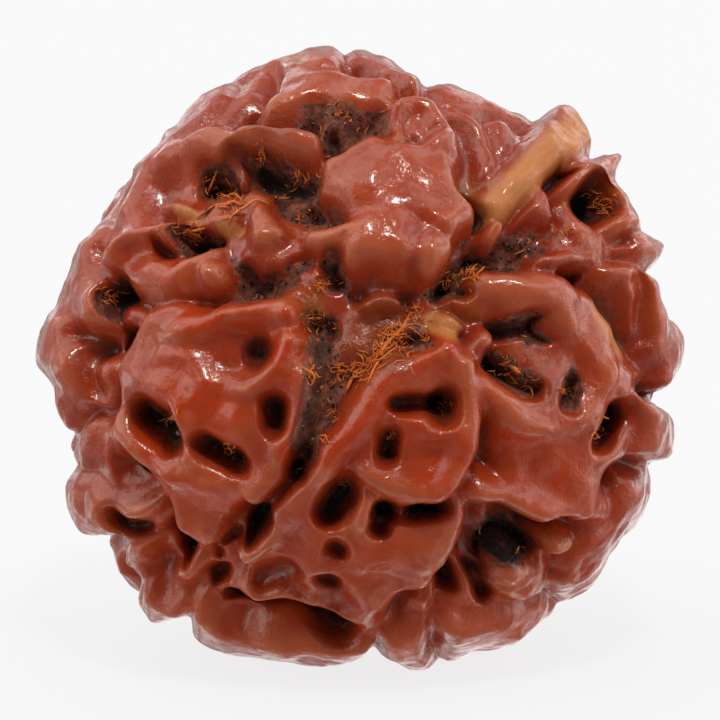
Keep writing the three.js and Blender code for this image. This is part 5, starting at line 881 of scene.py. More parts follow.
def waist_pits():
    """Pits between those lobes, a little further back."""
    forms = []
    turns = np.array(WAIST_PIT_TURNS)
    for i in range(WAIST_COUNT):
        around, polar = waist_place(i)
        ends = polar_direction(polar + WAIST_PIT_LAG - 2 * turns, around + math.pi / WAIST_COUNT + turns)
        forms.append(pit(ends, WAIST_PIT_HALF + WAIST_PIT_MORE * spread(i, 0.2), WAIST_PIT_DEPTH))
    return forms


def foot_lobe():
    """The broad lobe that the seed rests on."""
    outline = blob_directions(math.radians(FOOT_POLAR), -math.pi / 2, FOOT_SIZE, 0)
    return lobe(outline, FOOT_CREST, WAIST_EDGE)


def groove_forms():
    """Swaying grooves down the rear."""
    forms = []
    share = np.arange(GROOVE_STEPS + 1) / GROOVE_STEPS
    polar = GROOVE_START + (GROOVE_END - GROOVE_START) * share
    for n, angle in enumerate(GROOVE_ANGLES):
        wave = np.sin(2 * math.pi * GROOVE_WAVES * share + 2 * n)
        sway = GROOVE_SWAY * wave * np.sin(math.pi * share)
        line = polar_direction(np.radians(polar), np.radians(angle + sway))
        forms.append(pit(line, GROOVE_HALF, GROOVE_DEPTH))
    return forms


def on_face(path, radius, rear):
    """Directions of a drawn path on the front face, or turned round to the rear one."""
    directions = drawn_direction(path[:, 0], path[:, 1], radius)
    if rear:
        axis = polar_direction(math.pi / 2, math.radians(REAR_AXIS))
        directions = 2 * (directions @ axis)[:, None] * axis - directions
    return directions


def is_kept(directions, rear):
    """Whether a form is used: at the rear, only one that lies well away from the seed's side."""
    return not rear or unit(directions.sum(0))[2] < -REAR_LIMIT


def lobe_directions(path, crest, rear):
    """Directions of a lobe's outline, which is seen partway down its wall but for the seed's side."""
    middle = min(np.hypot(*path.mean(0)) / crest, 1)
    wall = wall_height(math.sqrt(1 - middle * middle))
    seen = 1 - smooth_step(np.hypot(*path.T), *SIDE_REACH)
    return on_face(path, crest - WALL_SHARE * wall * seen, rear)


def ridge_forms(rows, rear):
    forms = []
    for _, half, line in rows:
        path = smooth_path(line)
        directions = on_face(path, path[:, 2], rear)
        if is_kept(directions, rear):
            forms.append(ridge(directions, path[:, 2], half))
    return forms


def face_forms(rear):
    """All the drawn forms, for the front face or the rear one, where some pits are left out."""
    forms = []
    for _, crest, edge, outline in LOBES:
        directions = lobe_directions(smooth_path(outline, closed=True), crest, rear)
        if is_kept(directions, rear):
            forms.append(lobe(directions, crest, edge))
    forms += ridge_forms(RIDGES, rear)
    for n, (_, half, depth, line) in enumerate(PITS):
        path = smooth_path(line)
        growth = SIDE_GROWTH * smooth_step(np.hypot(*path.T), *SIDE_REACH)
        directions = on_face(path, PIT_RADIUS - PIT_SHARE * depth + growth, rear)
        if is_kept(directions, rear) and not (rear and n % REAR_LEFT_OUT == 0):
            forms.append(pit(directions, half, depth))
    return forms + ridge_forms(KNOBS, rear)


def wander(directions):
    """Small wandering of every direction, so that no edge runs true."""
    x, y, z = directions.T * MAP_RADIUS
    shift = np.stack([
        np.sin(1.9 * y + 1.3 * z) + 0.5 * np.sin(4.1 * z + 2.3 * x),
        np.sin(1.7 * z + 1.1 * x + 2) + 0.5 * np.sin(3.7 * x + 2.9 * y),
        np.sin(2.1 * x + 1.5 * y + 4) + 0.5 * np.sin(4.3 * y + 2.1 * z),
    ], -1)
    return unit(directions + shift * WANDERING)


def swelling(directions):
    """Low swellings and dips, about 3 mm across, all over the surface."""
    x, y, z = directions.T * MAP_RADIUS
    first = np.sin(1.7 * x + 0.9 * y + 1) * np.sin(1.6 * y - 1.1 * z + 2)
    second = np.sin(1.9 * z + 1.2 * x + 3) * np.sin(1.3 * x - 1.8 * y)
    return SWELLING_HEIGHT * (first + second)


def rim_radius(directions):
    """Largest radius in each direction: the front outline at the side, and an evened one away from it."""
    around = np.arctan2(directions[:, 1], directions[:, 0])
    turns = np.linspace(-RIM_EVENING, RIM_EVENING, RIM_EVENING_STEPS)
    even = np.mean([outline_size(around + turn) for turn in turns], 0)
    away = smooth_step(np.abs(directions[:, 2]), *RIM_REACH)
    size = outline_size(around) * (1 - away) + even * away
    return size / np.maximum(np.hypot(directions[:, 0], directions[:, 1]), LEAST_FLAT) ** RIM_POWER


def leaning(directions, sunk):
    """Shift that makes pits run along the view and not towards the seed's middle, but for its side."""
    share = LEAN_SHARE * smooth_step(np.abs(directions[:, 2]), *LEAN_REACH) * sunk
    along = directions.copy()
    along[:, 2] -= np.sign(directions[:, 2])
    return along * share[:, None]


def relief_radii(drawn):
    """Radius in each direction, how far pits sink it, and how far they would if nothing stopped them."""
    directions = wander(drawn)
    radii = CORE_RADIUS + SIDE_LIFT * ramp(np.abs(directions[:, 2]), *CORE_REACH)
    sunk = np.zeros(len(radii))
    forms = waist_lobes() + face_forms(True) + face_forms(False)
    for form in forms + groove_forms() + waist_pits() + [foot_lobe()]:
        form(directions, radii, sunk)
    radii += swelling(directions)
    limited = OUTLINE_BLEND / 4 - smooth_max(-radii, -rim_radius(directions), OUTLINE_BLEND)
    away = smooth_step(np.abs(directions[:, 2]), *RIM_REACH)
    radii = limited + RIM_YIELD * away * (radii - limited)
    lifted = np.maximum(DEEPEST_RADIUS - radii, 0)
    return radii + lifted, np.maximum(sunk - lifted, 0), sunk


def sphere_directions(corners):
    """Even directions from a divided cube's corners, drawn together towards the mouth."""
    directions = unit(np.tan(corners * math.pi / 4))
    polar = np.arccos(np.clip(directions[:, 2], -1, 1))
    around = np.arctan2(directions[:, 1], directions[:, 0])
    return polar_direction(2 * np.arctan(FRONT_SHARE * np.tan(polar / 2)), around)


def neighbour_mean(values, edges):
    """Mean of each corner's neighbours along the mesh's edges."""
    first, second = edges.T
    count = len(values)
    total = np.bincount(first, values[second], count) + np.bincount(second, values[first], count)
    return total / (np.bincount(first, minlength=count) + np.bincount(second, minlength=count))


def smoothed(values, edges, passes):
    """Values evened out along the mesh's edges, pass by pass."""
    for _ in range(passes):
        values = (values + neighbour_mean(values, edges)) / 2
    return values


def stand_up(points):
    """Drawn points in metres, with the mouth facing up by its tilt, before the seed is put on the floor."""
    x, y, z = points.T
    sine, cosine = math.sin(MOUTH_TILT), math.cos(MOUTH_TILT)
    return np.stack([x, y * sine - z * cosine, y * cosine + z * sine], -1)


def noise_at(places, size):
    """Noise from -1 to 1 at each place, with lumps about as large as size."""
    return np.array([noise.noise(place / size) for place in places])


def painted_shade_depth(drawn):
    """Painted shade of the dark hollows at each drawn point of the front, given as a depth in drawn
    millimetres.
    """
    depth = np.zeros(len(drawn))
    for deepest, half, line in PAINTED_SHADE_HOLLOWS:
        distance, _ = line_distance(drawn[:, :2], smooth_path(line))
        depth = np.maximum(depth, deepest * (1 - smooth_step(distance / half, *PAINTED_SHADE_FADE)))
    return np.where(drawn[:, 2] > 0, depth, 0)


class Seed:
    """The relief on the fine mesh, and where it stands."""

    def __init__(self, corners, edges):
        self.directions = sphere_directions(corners)
        self.edges = edges
        radii, sunk, dug = relief_radii(self.directions)
        self.radii = smoothed(radii, edges, SMOOTH_PASSES)
        sunk = smoothed(sunk, edges, SMOOTH_PASSES)
        self.depth = np.maximum(self.hollow(), DUG_SHARE * smoothed(dug, edges, SMOOTH_PASSES))
        self.radii += self.unevenness()
        drawn = self.directions * self.radii[:, None] + leaning(self.directions, sunk)
        drawn *= [1, 1, DEPTH_SHARE]
        # Painted shade: the dark hollows count as deep, so that their far walls are coloured dark
        self.depth = np.maximum(self.depth, painted_shade_depth(drawn))
        self.scale = SEED_WIDTH / np.ptp(drawn[:, 0])
        points = stand_up(drawn) * self.scale
        self.rest = REST_SHARE * SEED_WIDTH / 2
        below = points[:, 2] < -self.rest
        points[below] *= (-self.rest / points[below, 2])[:, None]
        low, high = points.min(0), points.max(0)
        self.shift = np.array([-(low[0] + high[0]) / 2, -(low[1] + high[1]) / 2, self.rest])
        self.points = points + self.shift

    def hollow(self):
        """How far each place lies below the ground round it, in drawn millimetres."""
        return smoothed(self.radii, self.edges, HOLLOW_PASSES) - self.radii

    def unevenness(self):
        """Small lumps everywhere, and a crumbly crust at the bottom of the hollows, in drawn millimetres."""
        places = self.directions * self.radii[:, None]
        self.ripples = noise_at(places, RIPPLE_SIZE)
        self.crumbs = noise_at(places, CRUMBLE_SIZE)
        everywhere = LUMP_HEIGHT * noise_at(places, LUMP_SIZE) + RIPPLE_HEIGHT * self.ripples
        return everywhere + CRUMBLE_HEIGHT * self.crumbs * smooth_step(self.depth, *CRUMBLY_DEPTHS)

    def crust_share(self):
        """Share from 0 to 1 of each place that crust covers, in the open and at the bottoms of pits."""
        share = self.patch_share("crust") * smooth_step(self.depth, *OPEN_CRUST_DEPTHS)
        share = np.maximum(share, smooth_step(self.depth, *PIT_CRUST_DEPTHS))
        ragged = self.ripples + RAGGED_CRUMBS * self.crumbs
        return np.clip(share + ragged * np.minimum(share / RAGGED_FROM, 1), 0, 1)

    def patch_share(self, kind):
        """Share from 0 to 1 of each place that lies on the named patches."""
        share = np.zeros(len(self.directions))
        for half, line in PATCHES[kind]:
            path = smooth_path(line)
            patch = Patch(drawn_direction(path[:, 0], path[:, 1], MAP_RADIUS))
            near = patch.covered(self.directions, half * PATCH_REACH)
            distance, _ = line_distance(patch.flat(self.directions[near]), patch.path)
            share[near] = np.maximum(share[near], 1 - smooth_step(distance / half, *PATCH_FADE))
        return share


def mesh_from(bm, name):
    """A mesh made of what has been built, which is then let go."""
    mesh = bpy.data.meshes.new(name)
    bm.to_mesh(mesh)
    bm.free()
    return mesh


def new_object(name, data):
    item = bpy.data.objects.new(name, data)
    bpy.context.scene.collection.objects.link(item)
    return item


def new_piece(name, mesh, material):
    piece = new_object(name, mesh)
    mesh.materials.append(material)
    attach(piece, "root")
    return piece


def add_attribute(mesh, name, values):
    attribute = mesh.attributes.new(name, "FLOAT", "POINT")
    attribute.data.foreach_set("value", np.asarray(values, np.float32))


class NodeBuilder:
    """The nodes of a material or world, added step by step."""

    def __init__(self, holder):
        holder.use_nodes = True
        self.nodes = holder.node_tree.nodes
        self.links = holder.node_tree.links

    def first(self, kind):
        return next(node for node in self.nodes if node.type == kind)

    def feed(self, socket, value):
        """Links a socket to another node's output, or gives it a number."""
        if isinstance(value, bpy.types.NodeSocket):
            self.links.new(value, socket)
        else:
            socket.default_value = value

    def steps(self, value, low, high, first=0.0, last=1.0):
        """Smooth rise from first to last as value goes from low to high."""
        node = self.nodes.new("ShaderNodeMapRange")
        node.interpolation_type = "SMOOTHSTEP"
        for socket, number in zip(node.inputs, (value, low, high, first, last)):
            self.feed(socket, number)
        return node.outputs["Result"]

    def maths(self, operation, first, second):
        node = self.nodes.new("ShaderNodeMath")
        node.operation = operation
        self.feed(node.inputs[0], first)
        self.feed(node.inputs[1], second)
        return node.outputs["Value"]


class Finish(NodeBuilder):
    """A material, with its shader's fixed values."""

    def __init__(self, name, **sockets):
        self.material = bpy.data.materials.new(name)
        super().__init__(self.material)
        self.shader = self.first("BSDF_PRINCIPLED")
        for socket, value in sockets.items():
            self.shade(socket.replace("_", " "), value)
        self.place = self.nodes.new("ShaderNodeTexCoord").outputs["Object"]

    def shade(self, name, value):
        """Feeds one of the shader's own sockets."""
        self.feed(self.shader.inputs[name], value)

    def noise(self, size, detail=2.0, distortion=0.0):
        """Noise with patches about as large as size, in millimetres."""
        node = self.nodes.new("ShaderNodeTexNoise")
        self.links.new(self.place, node.inputs["Vector"])
        node.inputs["Scale"].default_value = MILLIMETRES / size
        node.inputs["Detail"].default_value = detail
        node.inputs["Distortion"].default_value = distortion
        return node.outputs["Fac"]

    def attribute(self, name):
        node = self.nodes.new("ShaderNodeAttribute")
        node.attribute_name = name
        return node.outputs["Fac"]

    def blend(self, share, first, second):
        """Mix of two colours, each another node's output or red, green and blue."""
        node = self.nodes.new("ShaderNodeMix")
        node.data_type = "RGBA"
        self.feed(node.inputs["Factor"], share)
        sockets = [socket for socket in node.inputs if socket.type == "RGBA"]
        for socket, colour in zip(sockets, (first, second)):
            self.feed(socket, colour if isinstance(colour, bpy.types.NodeSocket) else (*colour, 1.0))
        return next(socket for socket in node.outputs if socket.type == "RGBA")

    def layers(self, colour, *layers):
        """A colour with further ones laid over it, each given as its share and itself."""
        for share, over in layers:
            colour = self.blend(share, colour, over)
        return colour

    def bump(self, height, strength, distance, normal=None):
        """Normal raised by height, with the distance in millimetres."""
        node = self.nodes.new("ShaderNodeBump")
        self.feed(node.inputs["Height"], height)
        self.feed(node.inputs["Strength"], strength)
        node.inputs["Distance"].default_value = distance / MILLIMETRES
        if normal is not None:
            self.links.new(normal, node.inputs["Normal"])
        return node.outputs["Normal"]


class Ground:
    """The shell's surface, for what lies on it."""

    def __init__(self):
        shell = bpy.data.objects["seed_shell"]
        self.mesh = shell.data
        self.corners = [corner.co.copy() for corner in self.mesh.vertices]
        self.tree = BVHTree.FromPolygons(self.corners, [face.vertices[:] for face in self.mesh.polygons])
        self.origin = Vector(shell["drawn_origin"])
        self.scale = shell["drawn_scale"]

    def seen_at(self, x, y):
        """Place where the front view's x and y meet the shell."""
        drawn = Vector((x, y * math.sin(MOUTH_TILT), y * math.cos(MOUTH_TILT)))
        start = self.origin + drawn * self.scale + OUTWARD * VIEW_START * self.scale
        place = self.tree.ray_cast(start, -OUTWARD)[0]
        if place is None:
            raise RuntimeError(f"Nothing of the shell is seen at {x}, {y}")
        return place

    def crusted_places(self):
        """Corners under crust, but for those that lie near the floor."""
        share = np.zeros(len(self.corners), np.float32)
        heights = np.array([corner.z for corner in self.corners])
        self.mesh.attributes["crusted"].data.foreach_get("value", share)
        return np.nonzero((share > FILLED_SHARE) & (heights > FLOOR_GAP))[0]


def walk(ground, chance, start, length, lift):
    """Points of a strand that runs over the shell and lifts off it towards its end."""
    place, normal, _, _ = ground.tree.find_nearest(start)
    heading = Vector(chance.normal(size=3)).cross(normal).normalized()
    points = [place]
    for step in range(1, WALK_STEPS + 1):
        heading = (heading + WALK_TURN * Vector(chance.normal(size=3))).normalized()
        place, normal, _, _ = ground.tree.find_nearest(place + heading * length / WALK_STEPS)
        share = WALK_LIFT + (1 - WALK_LIFT) * (step / WALK_STEPS) ** 2
        points.append(place + normal * lift * share)
    return points


def laid_line(ground, line, half):
    """Points of a strand drawn in the front view, stretched over the dips under it."""
    path = smooth_path(line, steps=FINE_STEPS)
    places = [ground.seen_at(x, y) for x, y in path]
    heights = np.array([place.dot(OUTWARD) for place in places])
    straight = np.linspace(heights[0], heights[-1], len(heights))
    raised = np.maximum(heights, straight) + half * ground.scale
    return [place + OUTWARD * rise for place, rise in zip(places, raised - heights)]


def strand_mesh(name, strands):
    """One mesh of tapered tubes along rows of points, each with its half width."""
    curve = bpy.data.curves.new(name, "CURVE")
    curve.dimensions = "3D"
    curve.bevel_depth = 1.0
    curve.bevel_resolution = 1
    curve.use_fill_caps = True
    for half, points in strands:
        spline = curve.splines.new("POLY")
        spline.points.add(len(points) - 1)
        for i, (point, target) in enumerate(zip(spline.points, points)):
            point.co = (*target, 1)
            bulge = math.sin(math.pi * (i + TIP_STEP) / (len(points) - 1 + 2 * TIP_STEP))
            point.radius = half * (TIP_WIDTH + (1 - TIP_WIDTH) * bulge)
    holder = bpy.data.objects.new(name, curve)
    mesh = bpy.data.meshes.new_from_object(holder)
    bpy.data.objects.remove(holder)
    bpy.data.curves.remove(curve)
    mesh.name = name
    mesh.shade_smooth()
    return mesh


def crust_tone(finish, tones):
    """Colour of the crust: brown with dark specks where it lies open, nearly black in the pits, partly the
    crust's own colour and partly painted shade.
    """
    return finish.layers(
        tones.crust,
        (finish.steps(finish.noise(0.8, 3.0), 0.4, 0.65), tones.maroon_and_shade),
        (finish.steps(finish.noise(0.25, 4.0), 0.35, 0.6, 0.5, 0.0), tones.pit),
        # Painted shade: the crust darkens to near black with depth, partly the dark crust at the pits'
        # bottoms
        (finish.steps(finish.attribute("depth"), *PIT_CRUST_DEPTHS), tones.pit),
    )


def shell_finish(tones):
    """Oiled red-brown shell: mottled, with painted shade darker in the hollows and a painted sheen lighter
    on the crests, amber and tan where it is thin.
    """
    finish = Finish("shell_finish", Specular_IOR_Level=0.45, Specular_Tint=(1.0, 0.90, 0.80, 1.0),
                    Coat_Weight=0.3, Coat_Roughness=0.08)
    broad = finish.noise(4.5, 3.0)
    middle = finish.noise(1.3, 4.0, 0.4)
    fine = finish.noise(0.3, 3.0)
    grain = finish.noise(0.12)
    hollow = finish.attribute("hollow")
    depth = finish.maths("ADD", finish.attribute("depth"), finish.steps(fine, 0.3, 0.7, -0.2, 0.2))
    speckled = finish.maths("ADD", finish.attribute("crusted"), finish.steps(fine, 0.35, 0.65, -0.35, 0.25))
    crust = finish.steps(speckled, 0.2, 0.65)
    finish.shade("Base Color", finish.layers(
        tones.deep,
        (finish.steps(broad, 0.35, 0.65), tones.middle),
        (finish.steps(middle, 0.5, 0.8, 0.0, 0.45), tones.bright),
        # Painted sheen on the crests, lighter towards the bright tone, and painted shade in the hollows,
        # darker towards the deep tone
        (finish.steps(hollow, -0.1, -0.9, 0.0, 0.5), tones.bright),
        (finish.steps(hollow, 0.0, 0.45, 0.0, 0.7), tones.deep),
        (finish.maths("MULTIPLY", finish.attribute("amber"), finish.steps(middle, 0.35, 0.65)), tones.amber),
        (finish.maths("MULTIPLY", finish.attribute("rust"), finish.steps(middle, 0.3, 0.55)), tones.rust),
        (finish.attribute("tan"), tones.tan),
        # Painted shade of the maroon patches, darker towards the warm brown
        (finish.maths("MULTIPLY", finish.attribute("maroon_and_shade"), 0.75), tones.hollow),
        # Painted shade: walls of the hollows darker towards maroon with depth
        (finish.steps(depth, 0.4, 1.0, 0.0, 0.85), tones.maroon_and_shade),
        (crust, crust_tone(finish, tones)),
    ))
    dull = finish.maths("MULTIPLY", finish.maths("MAXIMUM", crust, finish.attribute("tan")), 0.4)
    rough = finish.maths("ADD", finish.steps(fine, 0.3, 0.7, 0.12, 0.26), dull)
    finish.shade("Roughness", rough)
    normal = finish.bump(middle, 0.35, 0.12)
    streaky = finish.steps(finish.noise(2.2), 0.45, 0.6, 0.1, 0.9)
    normal = finish.bump(finish.noise(0.3, 4.0, 1.5), streaky, 0.05, normal)
    normal = finish.bump(fine, 0.6, 0.06, normal)
    normal = finish.bump(grain, finish.steps(crust, 0.0, 1.0, 0.4, 0.9), 0.035, normal)
    finish.shade("Normal", normal)
    return finish.material


def crust_finish(tones):
    """Dull, crumbly crust at the bottom of the hollows, dark brown with redder specks."""
    finish = Finish("crust_finish", Roughness=0.7, Specular_IOR_Level=0.25)
    finish.shade("Base Color", crust_tone(finish, tones))
    normal = finish.bump(finish.noise(0.25, 4.0), 1.0, 0.12)
    finish.shade("Normal", finish.bump(finish.noise(0.1), 0.8, 0.04, normal))
    return finish.material


def fibre_finish(settings):
    """Dry fibre, bright orange to dark brown from strand to strand."""
    finish = Finish("fibre_finish", Roughness=0.55, Specular_IOR_Level=0.4)
    finish.shade("Base Color", finish.layers(
        settings.dark,
        (finish.steps(finish.noise(0.7), 0.3, 0.5), settings.bright),
        (finish.steps(finish.noise(0.1), 0.4, 0.8, 0.0, 0.5), settings.dark),
    ))
    finish.shade("Normal", finish.bump(finish.noise(0.06), 0.6, 0.02))
    return finish.material


def crumb_finish(settings):
    """Dark, slightly glossy crumbs of dried pulp."""
    finish = Finish("crumb_finish", Roughness=0.35, Specular_IOR_Level=0.5)
    share = finish.steps(finish.noise(0.5), 0.45, 0.7)
    finish.shade("Base Color", finish.blend(share, settings.crumb, settings.dark))
    finish.shade("Normal", finish.bump(finish.noise(0.08), 0.8, 0.03))
    return finish.material


def colour_setting(name, description, default):
    """A setting for one colour."""
    return bpy.props.FloatVectorProperty(
        name=name, description=description, subtype="COLOR", size=3, min=0, max=1, default=default)


class FillingSettings(bpy.types.PropertyGroup):
    """What is left in the hollows."""

    bright: colour_setting("Bright fibre", "Orange of the fresh fibres", (0.72, 0.18, 0.016))
    dark: colour_setting("Dark fibre", "Brown of the old fibres", (0.12, 0.03, 0.012))
    crumb: colour_setting("Crumb", "Near-black of the crumbs", (0.018, 0.010, 0.008))
    fibre_size: bpy.props.FloatProperty(
        name="Fibre size", description="Half width of the fine fibres", subtype="DISTANCE", default=0.000024)
    loose_fibres: bpy.props.IntProperty(
        name="Loose fibres", description="Fine fibres scattered in all the hollows", default=160)
    crumbs: bpy.props.IntProperty(
        name="Crumbs", description="Crumbs scattered in all the hollows", default=900)
    crumb_size: bpy.props.FloatProperty(
        name="Crumb size", description="Radius of a large crumb", subtype="DISTANCE", default=0.0001)


class ShellTones(bpy.types.PropertyGroup):
    """Colours of the shell."""

    # Deep is also the painted shade in the hollows, and bright the painted sheen on the crests
    deep: colour_setting("Deep", "Darker red-brown of the shell", (0.27, 0.025, 0.006))
    middle: colour_setting("Middle", "Usual red-brown of the shell", (0.34, 0.041, 0.010))
    bright: colour_setting("Bright", "Lighter brown of the crests", (0.46, 0.118, 0.050))
    # Maroon is the painted shade on the hollows' walls and also the crust's own specks; hollow is the
    # painted shade of the maroon patches and the mouth's own brown
    maroon_and_shade: colour_setting("Maroon", "Walls of the hollows", (0.12, 0.024, 0.013))
    hollow: colour_setting("Hollow", "Warm brown of the mouth and the ledges over it", (0.20, 0.030, 0.008))
    # Pit darkens the pits' bottoms: partly the dark crust, partly painted shade
    pit: colour_setting("Pit", "Bottom of the pits", (0.020, 0.012, 0.009))
    crust: colour_setting("Crust", "Dark crust left in the hollows", (0.27, 0.084, 0.048))
    rust: colour_setting("Rust", "Orange-red of the lobes' broad faces", (0.36, 0.033, 0.005))
    amber: colour_setting("Amber", "Thin, amber places", (0.30, 0.062, 0.007))
    tan: colour_setting("Tan", "Smooth tan band", (0.46, 0.150, 0.034))


class StageSettings(bpy.types.PropertyGroup):
    """Floor, lights and camera."""

    floor: colour_setting("Floor", "Colour of the table", (0.08, 0.08, 0.08))
    floor_glow: bpy.props.FloatProperty(
        name="Floor glow", description="Light that the milky table gives from below", default=0.82)
    floor_reach: bpy.props.FloatProperty(
        name="Floor reach", description="Half width of the table", subtype="DISTANCE", default=1.6)
    surround: bpy.props.FloatProperty(
        name="Surroundings", description="Brightness of the pale surroundings", default=1.6)
    behind: bpy.props.FloatProperty(
        name="Behind", description="Brightness behind the seed", default=1.4)
    lamp_strength: bpy.props.FloatProperty(
        name="Lamp strength", description="Strength of the soft lamp overhead", default=1.2)
    lamp_spread: bpy.props.FloatProperty(
        name="Lamp spread", description="How wide the lamp looks from the seed", subtype="ANGLE",
        default=math.radians(8))
    distance: bpy.props.FloatProperty(
        name="Camera distance", description="From the seed's middle", subtype="DISTANCE", default=0.45)
    view_width: bpy.props.FloatProperty(
        name="View width", description="Width of the view at the seed", subtype="DISTANCE", default=0.0288)


class OBJECT_OT_rudraksha_shell(bpy.types.Operator):
    """Raises the seed's folds and pits on a fine mesh"""

    bl_idname = "object.rudraksha_shell"
    bl_label = "Seed shell"

    def execute(self, context):
        bm = bmesh.new()
        bmesh.ops.create_cube(bm, size=2)
        bmesh.ops.subdivide_edges(bm, edges=bm.edges[:], cuts=CUBE_CUTS, use_grid_fill=True)
        mesh = mesh_from(bm, "seed_shell")
        corners = np.zeros(3 * len(mesh.vertices))
        mesh.vertices.foreach_get("co", corners)
        edges = np.zeros(2 * len(mesh.edges), np.int64)
        mesh.edges.foreach_get("vertices", edges)
        seed = Seed(corners.reshape(-1, 3), edges.reshape(-1, 2))
        mesh.vertices.foreach_set("co", seed.points.ravel())
        for kind in TINTS:
            add_attribute(mesh, kind, seed.patch_share(kind))
        crusted = seed.crust_share()
        add_attribute(mesh, "crusted", crusted)
        # The depth also carries the painted shade of the dark hollows, which darkens walls and pits
        add_attribute(mesh, "depth", seed.depth)
        # The hollow drives the painted sheen on the crests and the painted shade in the hollows
        add_attribute(mesh, "hollow", seed.hollow())
        faces = np.zeros(len(mesh.loops), np.int64)
        mesh.loops.foreach_get("vertex_index", faces)
        covered = crusted[faces.reshape(-1, 4)].mean(1) > CRUST_FACE_SHARE
        mesh.polygons.foreach_set("material_index", covered.astype(np.int32))
        mesh.shade_smooth()
        mesh.update()
        piece = new_piece("seed_shell", mesh, shell_finish(context.scene.rudraksha_tones))
        mesh.materials.append(crust_finish(context.scene.rudraksha_tones))
        piece["drawn_origin"] = list(seed.shift)
        piece["drawn_scale"] = seed.scale
        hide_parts("seed")
        return {"FINISHED"}


class OBJECT_OT_rudraksha_fibres(bpy.types.Operator):
    """Lays tufts of fibre and single strands in the hollows"""

    bl_idname = "object.rudraksha_fibres"
    bl_label = "Fibres"

    def execute(self, context):
        settings = context.scene.rudraksha_filling
        chance = np.random.default_rng(FIBRE_DRAWS)
        ground = Ground()
        scale = ground.scale
        strands = [(half * scale, laid_line(ground, line, half)) for half, line in STRANDS]
        starts = []
        for x, y, reach, number, length in TUFTS:
            for _ in range(number):
                off = chance.normal(size=2) * reach / 2
                starts.append((ground.seen_at(x + off[0], y + off[1]), length))
        for i in chance.choice(ground.crusted_places(), settings.loose_fibres):
            starts.append((ground.corners[i], LOOSE_LENGTH))
        for start, length in starts:
            half = settings.fibre_size * chance.uniform(*FIBRE_WIDTHS)
            run = length * scale * chance.uniform(*FIBRE_LENGTHS)
            lift = chance.uniform(*FIBRE_LIFTS) * scale
            strands.append((half, walk(ground, chance, start, run, lift)))
        new_piece("fibres", strand_mesh("fibres", strands), fibre_finish(settings))
        return {"FINISHED"}


class OBJECT_OT_rudraksha_crumbs(bpy.types.Operator):
    """Scatters crumbs of dried pulp over the bottoms of the hollows"""

    bl_idname = "object.rudraksha_crumbs"
    bl_label = "Crumbs"

    def execute(self, context):
        settings = context.scene.rudraksha_filling
        chance = np.random.default_rng(CRUMB_DRAWS)
        ground = Ground()
        bm = bmesh.new()
        for i in chance.choice(ground.crusted_places(), settings.crumbs):
            turn = Matrix.Rotation(chance.uniform(0, 2 * math.pi), 4, Vector(chance.normal(size=3)))
            shape = Matrix.Diagonal((*chance.uniform(*CRUMB_SHAPES, size=3), 1))
            matrix = Matrix.Translation(ground.corners[i]) @ turn @ shape
            size = settings.crumb_size * chance.uniform(*CRUMB_SIZES)
            bmesh.ops.create_icosphere(bm, subdivisions=1, radius=size, matrix=matrix)
        new_piece("crumbs", mesh_from(bm, "crumbs"), crumb_finish(settings))
        return {"FINISHED"}


def bright_clouds(build, direction):
    """Soft bright patches all round, as a factor."""
    shifted = build.nodes.new("ShaderNodeMapping")
    shifted.inputs["Location"].default_value = CLOUD_SHIFT
    build.feed(shifted.inputs["Vector"], direction)
    uneven = build.nodes.new("ShaderNodeTexNoise")
    uneven.inputs["Scale"].default_value = CLOUD_SCALE
    uneven.inputs["Detail"].default_value = 1.0
    build.feed(uneven.inputs["Vector"], shifted.outputs["Vector"])
    return build.steps(uneven.outputs["Fac"], *CLOUD_STEPS)


def studio_world(settings):
    """Pale, uneven surroundings, with a dark place where the viewer stands."""
    world = bpy.data.worlds.new("studio")
    build = NodeBuilder(world)
    direction = build.nodes.new("ShaderNodeTexCoord").outputs["Generated"]
    facing = build.nodes.new("ShaderNodeVectorMath")
    facing.operation = "DOT_PRODUCT"
    build.feed(facing.inputs[0], direction)
    build.feed(facing.inputs[1], VIEWER_SIDE)
    split = build.nodes.new("ShaderNodeSeparateXYZ")
    build.feed(split.inputs["Vector"], direction)
    lowest = build.steps(split.outputs["Y"], *BELOW_STEPS)
    level = build.steps(split.outputs["Y"], *BEHIND_REACH, settings.surround, settings.behind)
    for share in (
        build.steps(facing.outputs["Value"], *VIEWER_STEPS),
        build.steps(split.outputs["Z"], *BELOW_REACH, lowest, 1.0),
        build.steps(split.outputs["Z"], *ABOVE_STEPS),
        bright_clouds(build, direction),
    ):
        level = build.maths("MULTIPLY", level, share)
    choice = build.nodes.new("ShaderNodeMix")
    build.feed(choice.inputs["Factor"], build.nodes.new("ShaderNodeLightPath").outputs["Is Camera Ray"])
    build.feed(choice.inputs["A"], level)
    build.feed(choice.inputs["B"], BACKDROP)
    background = build.first("BACKGROUND")
    build.feed(background.inputs["Strength"], choice.outputs["Result"])
    build.feed(background.inputs["Color"], (1.0, 1.0, 1.0, 1.0))
    return world


def floor_piece(settings):
    bm = bmesh.new()
    bmesh.ops.create_grid(bm, x_segments=1, y_segments=1, size=settings.floor_reach)
    mesh = mesh_from(bm, "floor")
    finish = Finish("floor_finish", Roughness=0.9, Specular_IOR_Level=0.1,
                    Emission_Strength=settings.floor_glow, Emission_Color=(1, 1, 1, 1))
    dimmed = np.array(settings.floor) * FLOOR_DIMMING
    finish.shade("Base Color", finish.blend(finish.noise(FLOOR_PATCHES), settings.floor, dimmed))
    mesh.materials.append(finish.material)
    floor = new_object("floor", mesh)
    floor.visible_glossy = False


def soft_lamp(settings):
    """Broad lamp overhead, a little towards the viewer."""
    data = bpy.data.lights.new("overhead", "SUN")
    data.energy = settings.lamp_strength
    data.angle = settings.lamp_spread
    lamp = new_object("overhead", data)
    lamp.rotation_euler = Vector(LAMP_SIDE).to_track_quat("Z", "Y").to_euler()


